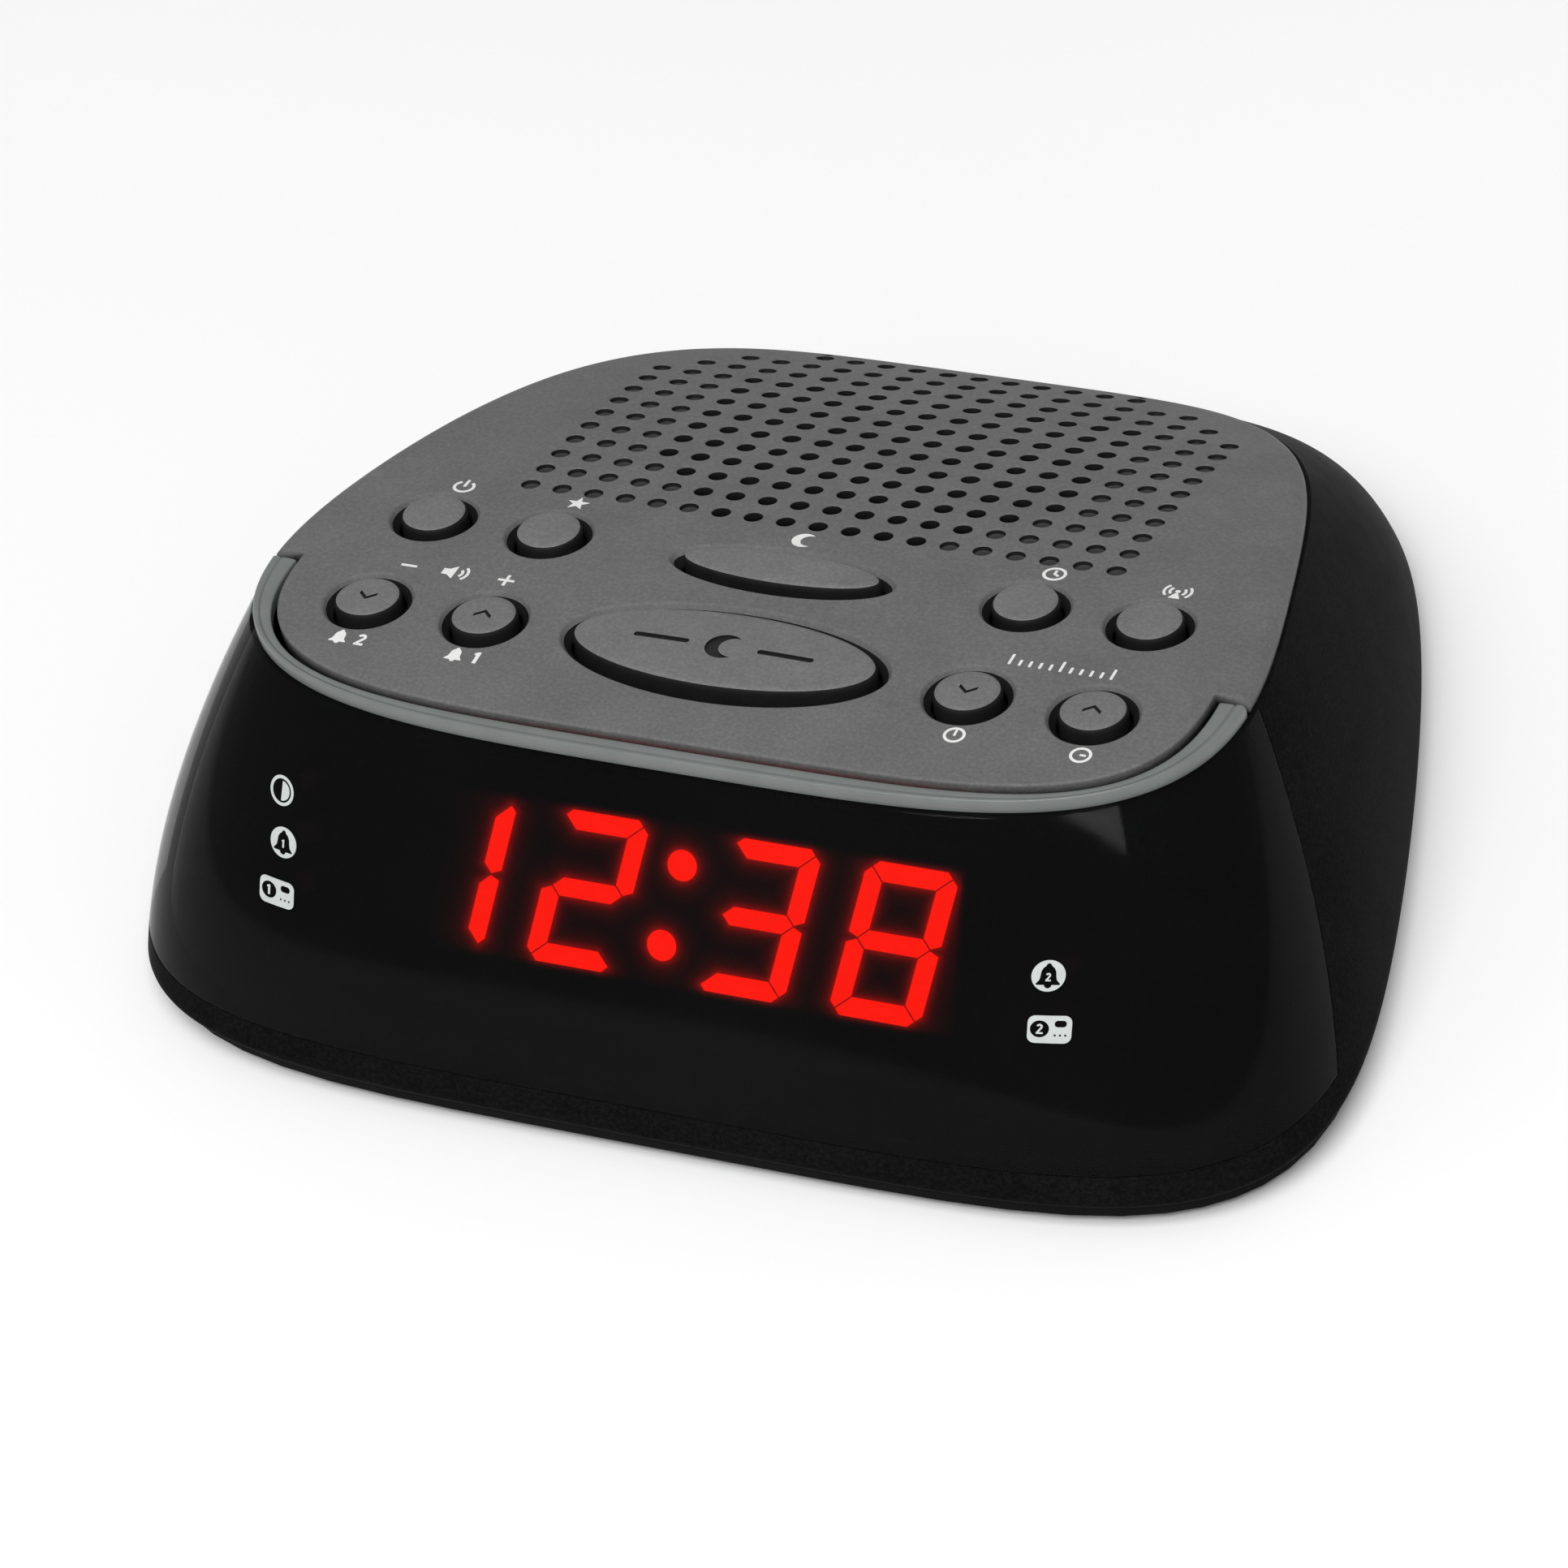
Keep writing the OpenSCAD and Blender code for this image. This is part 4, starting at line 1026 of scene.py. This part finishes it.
def rrect(x, y, w, h, r, n=6):
    pts = []
    for cx, cy, a0 in ((x + w / 2 - r, y + h / 2 - r, 0), (x - w / 2 + r, y + h / 2 - r, 90), (x - w / 2 + r, y - h / 2 + r, 180), (x + w / 2 - r, y - h / 2 + r, 270)):
        for k in range(n + 1):
            a = math.radians(a0 + 90 * k / n)
            pts.append((cx + r * math.cos(a), cy + r * math.sin(a)))
    return np.array(pts)


def stroke(pts, w):
    """closed outline round an open line, of width w"""
    p = np.asarray(pts, float)
    d = np.diff(p, axis=0)
    d /= np.linalg.norm(d, axis=1)[:, None]
    nn = np.stack([-d[:, 1], d[:, 0]], -1)
    off = np.zeros_like(p)
    off[0], off[-1] = nn[0], nn[-1]
    for i in range(1, len(p) - 1):
        m = nn[i - 1] + nn[i]
        off[i] = m / max(0.5, (1 + nn[i - 1] @ nn[i]))
    return np.concatenate([p + off * w / 2, (p - off * w / 2)[::-1]])


def arc(x, y, r, a0, a1, n=16):
    a = np.radians(np.linspace(a0, a1, n))
    return np.stack([x + r * np.cos(a), y + r * np.sin(a)], -1)


BTN = {"power_button": (-39.24, 7.81, 0, "power_key"), "memory_button": (-26.17, 7.81, 0, "memory_key"),
       "volume_down_button": (-39.24, -7.75, -1, "volume_down_key"), "volume_up_button": (-26.17, -7.75, 1, "volume_up_key"),
       "set_button": (26.17, 7.81, 0, "set_key"), "band_button": (39.24, 7.81, 0, "band_key"),
       "tuning_down_button": (26.17, -7.75, -1, "tuning_down_key"), "tuning_up_button": (39.24, -7.75, 1, "tuning_up_key")}
for node, (x, y, s, name) in BTN.items():
    b = Build()
    m = KEY_M @ Matrix.Translation((x, y, -0.16))
    ellipse_button(b, 3.45, 3.45, 72, True, [chevron_loop(s)] if s else [], crown=0.05, dish=0.05, m=m)
    finish_piece(name, b, [M["button_grey"], M["engraved"], M["painted_shade_dark"]], node, [node], angle=38)

b = Build()
m = KEY_M @ Matrix.Translation((0, -7.3, -0.14))
dash = [rrect(sx * 6.7, 0, 6.0, 0.70, 0.32) for sx in (-1, 1)]
ellipse_button(b, 16.3, 6.2, 144, True, [moon(0.1, 0, 1.95)] + dash, crown=0.30, m=m, depth=0.3)
finish_piece("snooze_key", b, [M["button_grey"], M["engraved"], M["painted_shade_dark"]], "snooze_bar", ["snooze_bar"], angle=38)
b = Build()
m = KEY_M @ Matrix.Translation((0, 7.3, -0.14))
ellipse_button(b, 10.8, 2.8, 120, True, [], crown=0.20, m=m)
finish_piece("sleep_key", b, [M["button_grey"], M["engraved"], M["painted_shade_dark"]], "sleep_bar", ["sleep_bar"], angle=38)

# ------------------------------------------------------------------ printed pictograms


def decal(b, loops, place, top=0.03, low=-0.06, mat=0):
    """A thin printed layer. place(points, height) puts drawing points on the surface."""
    dl = [densify(l, 0.8) for l in loops]
    p, tri = cdt(dl)
    t = b.add(place(p, top))
    l = b.add(place(p, low))
    for f in tri:
        b.face(t[f], mat)
        b.face(l[f][::-1], mat)
    k = 0
    for q in dl:
        n = len(q)
        b.strip(t[k:k + n], l[k:k + n], closed=True, mat=mat)
        k += n


def one(x, y, h):
    return np.array([(x - .12 * h, y - .5 * h), (x + .12 * h, y - .5 * h), (x + .12 * h, y + .5 * h), (x - .06 * h, y + .5 * h), (x - .28 * h, y + .33 * h), (x - .20 * h, y + .20 * h), (x - .12 * h, y + .25 * h)])


def two(x, y, h, w=None):
    w = w or 0.20 * h
    c = arc(x, y + .22 * h, .19 * h, 165, -35, 12)
    pts = np.concatenate([c, [(x - .20 * h, y - .38 * h)]])
    s = stroke(pts, w)
    base = [(x - .30 * h, y - .5 * h), (x + .30 * h, y - .5 * h), (x + .30 * h, y - .5 * h + w), (x - .30 * h, y - .5 * h + w)]
    return s, np.array(base)


def bell(x, y, h):
    """outline of a bell with its clapper"""
    R_ = [(0.00, .50), (.07, .48), (.10, .40), (.20, .32), (.27, .18), (.29, -.02), (.32, -.16), (.44, -.30), (.44, -.36), (.14, -.36), (.11, -.45), (0.0, -.50)]
    r = [(x + a * h, y + c * h) for a, c in R_]
    l = [(x - a * h, y + c * h) for a, c in R_[1:-1]][::-1]
    return np.array(r + l)[::-1]


def ring_loops(x, y, r, w, n=40):
    return [circle(x, y, r, n), circle(x, y, r - w, n)]


W = 0.30
legends = {}
# power
legends["power"] = ((-38.85, 32.75), [[stroke(arc(0, 0, 0.92, 125, 415, 28), W)], [rrect(0, 0.62, W, 1.25, 0.1)]])
# memory: a star
a5 = np.radians(90 + np.arange(10) * 36)
r5 = np.where(np.arange(10) % 2 == 0, 1.12, 0.46)
legends["memory"] = ((-25.83, 32.75), [[np.stack([r5 * np.cos(a5), r5 * np.sin(a5)], -1)]])
# volume: minus, loudspeaker, plus
legends["volume"] = ((-32.22, 17.45), [
    [rrect(-4.9, 0, 1.6, W, 0.1)],
    [np.array([(-1.5, -.42), (-.95, -.42), (-.25, -.95), (-.25, .95), (-.95, .42), (-1.5, .42)])],
    [stroke(arc(-.15, 0, .62, -48, 48, 10), W * .9)], [stroke(arc(-.15, 0, 1.15, -48, 48, 14), W * .9)],
    [np.array([(4.1, -W / 2), (4.9 - W / 2, -W / 2), (4.9 - W / 2, -.8), (4.9 + W / 2, -.8), (4.9 + W / 2, -W / 2), (5.7, -W / 2), (5.7, W / 2), (4.9 + W / 2, W / 2), (4.9 + W / 2, .8), (4.9 - W / 2, .8), (4.9 - W / 2, W / 2), (4.1, W / 2)])]])
t2, t2b = two(1.5, 0, 1.7, 0.32)
legends["alarm_two"] = ((-38.63, 4.85), [[bell(-0.9, 0, 2.1)], [t2], [t2b]])
legends["alarm_one"] = ((-25.71, 4.9), [[bell(-0.9, 0, 2.1)], [one(1.5, 0, 1.7)]])
legends["sleep"] = ((-0.2, 32.15), [[moon(0, 0, 1.15)]])
legends["set"] = ((26.76, 32.8), [ring_loops(0, 0, 1.12, W), [stroke([(0, .62), (0, 0), (.45, -.28)], .26)]])
legends["band"] = ((39.79, 32.85), [[np.array([(-.12, -.2), (.12, -.2), (.55, -1.1), (-.55, -1.1)])], [circle(0, 0.1, .24, 20)],
                                    [stroke(arc(0, .1, .72, -42, 42, 10), .26)], [stroke(arc(0, .1, 1.25, -42, 42, 14), .26)],
                                    [stroke(arc(0, .1, .72, 138, 222, 10), .26)], [stroke(arc(0, .1, 1.25, 138, 222, 14), .26)]])
ticks = []
for k in range(-5, 6):
    hgt = 1.5 if k % 5 == 0 else 0.85
    ticks.append([rrect(k * 0.95, -0.75 + hgt / 2, 0.26, hgt, 0.08)])
legends["tuning"] = ((33.59, 17.35), ticks)
legends["minutes"] = ((27.19, 4.80), [ring_loops(0, 0, 1.12, W), [rrect(0, .33, .26, .9, .08)]])
legends["hours"] = ((40.25, 4.80), [ring_loops(0, 0, 1.12, W), [rrect(.22, 0, .66, .26, .08)]])

b = Build()
for name, ((cx, cs), parts) in legends.items():
    k = 1.0 if name in ("alarm_one", "alarm_two", "minutes", "hours") else 1.12
    for loops in parts:
        decal(b, loops, lambda p, h: on_arch(k * p[:, 0] + cx, k * p[:, 1] + cs, h))
finish_piece("panel_print", b, [M["print_white"]], "case", merge=False, angle=60)


def on_window(p, cx, cz, h):
    """drawing point to the window's outer face, near (cx, cz): x across, y up the face"""
    X = cx + p[:, 0]
    # start from the height and step up the surface
    Z = cz + p[:, 1] * 0.80
    phi = np.linspace(-70, 70, 2801)
    res = np.zeros((len(p), 3))
    for i in range(len(p)):
        z = Z[i]
        P = side(phi, v_at_z(phi, z), 0.02)
        y = np.interp(X[i], P[:, 0], P[:, 1])
        P2 = side(phi, v_at_z(phi, z + 0.2), 0.02)
        y2 = np.interp(X[i], P2[:, 0], P2[:, 1])
        y3 = np.interp(X[i] + 0.2, P[:, 0], P[:, 1])
        n = np.cross([0.2, y3 - y, 0], [0, y2 - y, 0.2])
        n /= np.linalg.norm(n)
        res[i] = np.array([X[i], y, z]) + n * h
    return res


b = Build()
ICON = []
# afternoon: a half disc in a ring
ICON.append((-41.93, 29.70, [ring_loops(0, 0, 1.5, 0.32), [np.concatenate([arc(0, 0, .98, -90, 90, 18)])]]))
for sx, num in ((-1, 1), (1, 2)):
    cx = 41.2 * sx
    parts = [[circle(0, 0, 1.62, 48), bell(0, 0.0, 2.6)]]
    small = [[one(0, -0.12, 0.85)]] if num == 1 else [[q] for q in two(0, -0.12, 0.85, 0.17)]
    ICON.append((cx, 25.56, parts + small))
    body = [rrect(0, 0, 4.25, 3.0, 0.75), circle(-0.95, 0.05, 0.92, 36), rrect(1.05, 0.62, 1.15, 0.72, 0.34)]
    body += [circle(0.55 + k * 0.5, -0.62, 0.12, 10) for k in range(3)]
    small = [[one(-0.95, 0.05, 1.1)]] if num == 1 else [[q] for q in two(-0.95, 0.05, 1.1, 0.2)]
    ICON.append((41.7 * sx, 21.04, [body] + small))
for cx, cz, parts in ICON:
    for loops in parts:
        decal(b, loops, lambda p, h: on_window(p, cx, cz, h), top=0.02, low=-0.05)
finish_piece("window_print", b, [M["icon_grey"]], "case", merge=False, angle=60)

# ------------------------------------------------------------------ display

DIG_H, DIG_P, DY, DZ, SW = 16.0, 14.4, 3.3, -1.3, 2.0
SLANT = math.tan(math.radians(11.5))


def digit_x(k):
    return (k - 1.5) * DIG_P + (-1.4 if k < 2 else 2.6)


hh, ww = DIG_H / 2 - SW / 2, 3.85
SEG = [(0, hh, 0), (ww, hh / 2, 90), (ww, -hh / 2, 90), (0, -hh, 0), (-ww, -hh / 2, 90), (-ww, hh / 2, 90), (0, 0, 0)]
LIT = {0: (1, 2), 1: (0, 1, 6, 4, 3), 2: (0, 1, 6, 2, 3), 3: (0, 1, 2, 3, 4, 5, 6)}


def seg_loop(s, w, grow=0.0):
    cx, cy, a = SEG[s]
    l = (7.5 if s in (0, 3, 6) else DIG_H / 2 - SW / 2 - 0.3) + grow
    w = w + grow
    p = np.array([(-l / 2, 0), (-l / 2 + w * .30, -w * .40), (-l / 2 + w * .46, -w / 2), (l / 2 - w * .46, -w / 2), (l / 2 - w * .30, -w * .40), (l / 2, 0),
                  (l / 2 - w * .30, w * .40), (l / 2 - w * .46, w / 2), (-l / 2 + w * .46, w / 2), (-l / 2 + w * .30, w * .40)])
    c, s_ = math.cos(math.radians(a)), math.sin(math.radians(a))
    return np.stack([cx + p[:, 0] * c - p[:, 1] * s_, cy + p[:, 0] * s_ + p[:, 1] * c], -1)


def mitred(s, g=0.075, c=1.3):
    """outline of a segment as it shows through the film: mitred and chamfered corners, g is half the gap"""
    w, H, X = SW, DIG_H / 2, ww + SW / 2
    if s in (0, 3):
        p = [(-X + c, H), (X - c, H), (X - c / 2 - 0.7 * g, H - c / 2 + 0.7 * g), (X - w - 1.4 * g, H - w), (-X + w + 1.4 * g, H - w), (-X + c / 2 + 0.7 * g, H - c / 2 + 0.7 * g)]
        p = np.array(p)
        if s == 3:
            p[:, 1] *= -1
    elif s == 6:
        q = w / 2 - 0.04
        p = np.array([(-X + w * 0.50 + 1.4 * g, 0), (-X + w + g, q), (X - w - g, q), (X - w * 0.50 - 1.4 * g, 0), (X - w - g, -q), (-X + w + g, -q)])
    else:
        p = [(X, 0.55), (X, H - c), (X - c / 2 + 0.7 * g, H - c / 2 - 0.7 * g), (X - w, H - w - 1.4 * g), (X - w, w / 2 + 1.4 * g), (X - w * 0.5, g * 1.3)]
        p = np.array(p)
        if s in (2, 4):
            p[:, 1] *= -1
        if s in (4, 5):
            p[:, 0] *= -1
    a = p[:, 0] @ np.roll(p[:, 1], -1) - p[:, 1] @ np.roll(p[:, 0], -1)
    return p if a > 0 else p[::-1]


def slanted(k, p):
    return np.stack([digit_x(k) + p[:, 0] + SLANT * p[:, 1], DY + p[:, 1]], -1)


def prism(b, loop, z0, z1, m, mat=0, edge=0.08):
    """prism with a small chamfer round its top"""
    c = loop.mean(0)
    L1 = c + (loop - c) * (1 - edge / np.maximum(0.4, np.linalg.norm(loop - c, axis=1)))[:, None]
    n = len(loop)
    r = [b.add(xf(m, np.column_stack([q, np.full(n, z)]))) for q, z in ((loop, z0), (loop, z1 - edge), (L1, z1))]
    b.grid(r, closed=True, mat=mat)
    b.face(r[0][::-1], mat)
    b.face(r[2], mat)


b, bu = Build(), Build()
lit_loops = []
for k in range(4):
    for s in range(7):
        loop = slanted(k, seg_loop(s, SW, -0.04))
        if s in LIT[k]:
            prism(b, loop, DZ - 3.9, DZ + 0.02, FACE_MX, mat=1)
            shown = slanted(k, mitred(s))
            lit_loops.append(shown)
            prism(b, shown, DZ + 0.045, DZ + 0.10, FACE_MX, edge=0.03)
        else:
            prism(bu, loop, DZ - 3.9, DZ + 0.03, FACE_MX)
for y in (-4.2, 4.2):
    loop = circle(0.6 + y * SLANT, DY + y, 1.58, 40)
    lit_loops.append(loop)
    prism(b, loop, DZ - 3.9, DZ + 0.02, FACE_MX, mat=1)
    prism(b, loop, DZ + 0.045, DZ + 0.10, FACE_MX, edge=0.03)
finish_piece("digits_lit", b, [M["segment_lit"], M["segment_off"]], "case", ["display_segments"], merge=False, angle=30)
finish_piece("digits_dark", bu, [M["segment_off"]], "case", merge=False, angle=30)


def film():
    """black film round the segments, with their spread light as an attribute"""
    b = Build()
    x0, x1, y0, y1, st = -31.5, 31.5, DY - 8.8, DY + 8.8, 0.30
    nx, ny = int((x1 - x0) / st) + 1, int((y1 - y0) / st) + 1
    gx, gy = np.meshgrid(np.linspace(x0, x1, nx), np.linspace(y0, y1, ny))
    P = np.stack([gx.ravel(), gy.ravel()], -1)
    dist = np.full(len(P), 99.0)
    for l in lit_loops:
        c = l.mean(0)
        near = np.linalg.norm(P - c, axis=1) < 12
        q = P[near]
        a, e = l, np.roll(l, -1, 0)
        dmin = np.full(len(q), 99.0)
        for p0, p1 in zip(a, e):
            v = p1 - p0
            t = np.clip(((q - p0) @ v) / (v @ v), 0, 1)
            dmin = np.minimum(dmin, np.linalg.norm(q - (p0 + t[:, None] * v), axis=1))
        dmin[inside(q, l)] = 0
        dist[near] = np.minimum(dist[near], dmin)
    glow = 0.20 * np.exp(-(dist / 0.33) ** 1.2) + 0.038 * np.exp(-(dist / 1.15) ** 1.5) + 0.006 * np.exp(-(dist / 3.0) ** 2)
    edge = np.minimum(np.minimum(P[:, 0] - x0, x1 - P[:, 0]), np.minimum(P[:, 1] - y0, y1 - P[:, 1]))
    glow *= np.clip(edge / 0.9, 0, 1) ** 2
    z = DZ + 0.04
    top = b.add(xf(FACE_MX, np.column_stack([P, np.full(len(P), z)]))).reshape(ny, nx)
    low = b.add(xf(FACE_MX, np.column_stack([P, np.full(len(P), z - 0.03)]))).reshape(ny, nx)
    b.grid(list(top))
    b.grid(list(low), flip=True)
    b.strip(top[0], low[0], flip=True)
    b.strip(top[-1], low[-1])
    b.strip(top[:, 0], low[:, 0])
    b.strip(top[:, -1], low[:, -1], flip=True)
    o = finish_piece("display_film", b, [M["display_film"]], "case", merge=False, angle=60)
    at = o.data.attributes.new("glow", "FLOAT", "POINT")
    at.data.foreach_set("value", np.concatenate([glow, 0 * glow]).astype(np.float32))
    return o


film()

# ------------------------------------------------------------------ carried-over CAD nodes

slot_of = {s["node"]: s["material_slot"] for s in frame["record"]["subparts"]}
for n, o in NODE.items():
    if o.hide_render:
        continue
    mat = M.get(slot_of[n])
    if n == "indicator_leds":
        mat = M["led_clear"]
    if n == "display_board":
        mat = M["board_black"]
    if mat is None:
        continue
    for k in range(max(1, len(o.material_slots))):
        if len(o.material_slots) <= k:
            o.data.materials.append(mat)
        o.material_slots[k].material = mat

# ------------------------------------------------------------------ floor, light, camera

me = bpy.data.meshes.new("floor")
S = 6.0
me.from_pydata([(-S, -S, 0), (S, -S, 0), (S, S, 0), (-S, S, 0)], [], [(0, 1, 2, 3)])
floor = bpy.data.objects.new("floor", me)
bpy.context.scene.collection.objects.link(floor)
fm, nt, bs = nodes_of("floor")
nt.links.new(ramp(nt, noise(nt, 3.0, 2.0), [(0.3, (0.86, 0.86, 0.86)), (0.7, (0.88, 0.88, 0.88))]), bs.inputs["Base Color"])
bs.inputs["Roughness"].default_value = 0.9
bs.inputs["Specular IOR Level"].default_value = 0.1
me.materials.append(fm)

world = bpy.data.worlds.new("studio")
bpy.context.scene.world = world
world.use_nodes = True
wn = world.node_tree.nodes["Background"]
wn.inputs[0].default_value = (1, 1, 1, 1)
wn.inputs[1].default_value = 0.40


def area(name, loc, target, size, power, size_y=None):
    l = bpy.data.lights.new(name, "AREA")
    l.energy = power
    l.shape = "RECTANGLE"
    l.size = size
    l.size_y = size_y or size
    o = bpy.data.objects.new(name, l)
    o.location = loc
    d = Vector(target) - Vector(loc)
    o.rotation_euler = d.to_track_quat("-Z", "Y").to_euler()
    bpy.context.scene.collection.objects.link(o)
    return o


area("key_soft", (0.20, -0.85, 1.48), (0, 0, 0.0), 1.3, 30, 1.1)

cam = bpy.data.cameras.new("camera")
cam.lens = 145.72
cam.sensor_width = 36
cam.clip_start = 0.01
cam.clip_end = 50
co = bpy.data.objects.new("camera", cam)
Bm = ((0.914106, 0.37771366, -0.14745379), (-0.15068302, 0.65405568, 0.74128658), (0.37643705, -0.65539572, 0.65479126))
mw = Matrix([[Bm[0][0], Bm[1][0], Bm[2][0], 0.243002],
             [Bm[0][1], Bm[1][1], Bm[2][1], -0.4403818],
             [Bm[0][2], Bm[1][2], Bm[2][2], 0.438701],
             [0, 0, 0, 1]])
co.matrix_world = mw
bpy.context.scene.collection.objects.link(co)
bpy.context.scene.camera = co
vs = bpy.context.scene.view_settings
vs.view_transform = "Standard"
vs.look = "None"
vs.exposure = 0.0
vs.gamma = 1.0

bpy.context.view_layer.update()
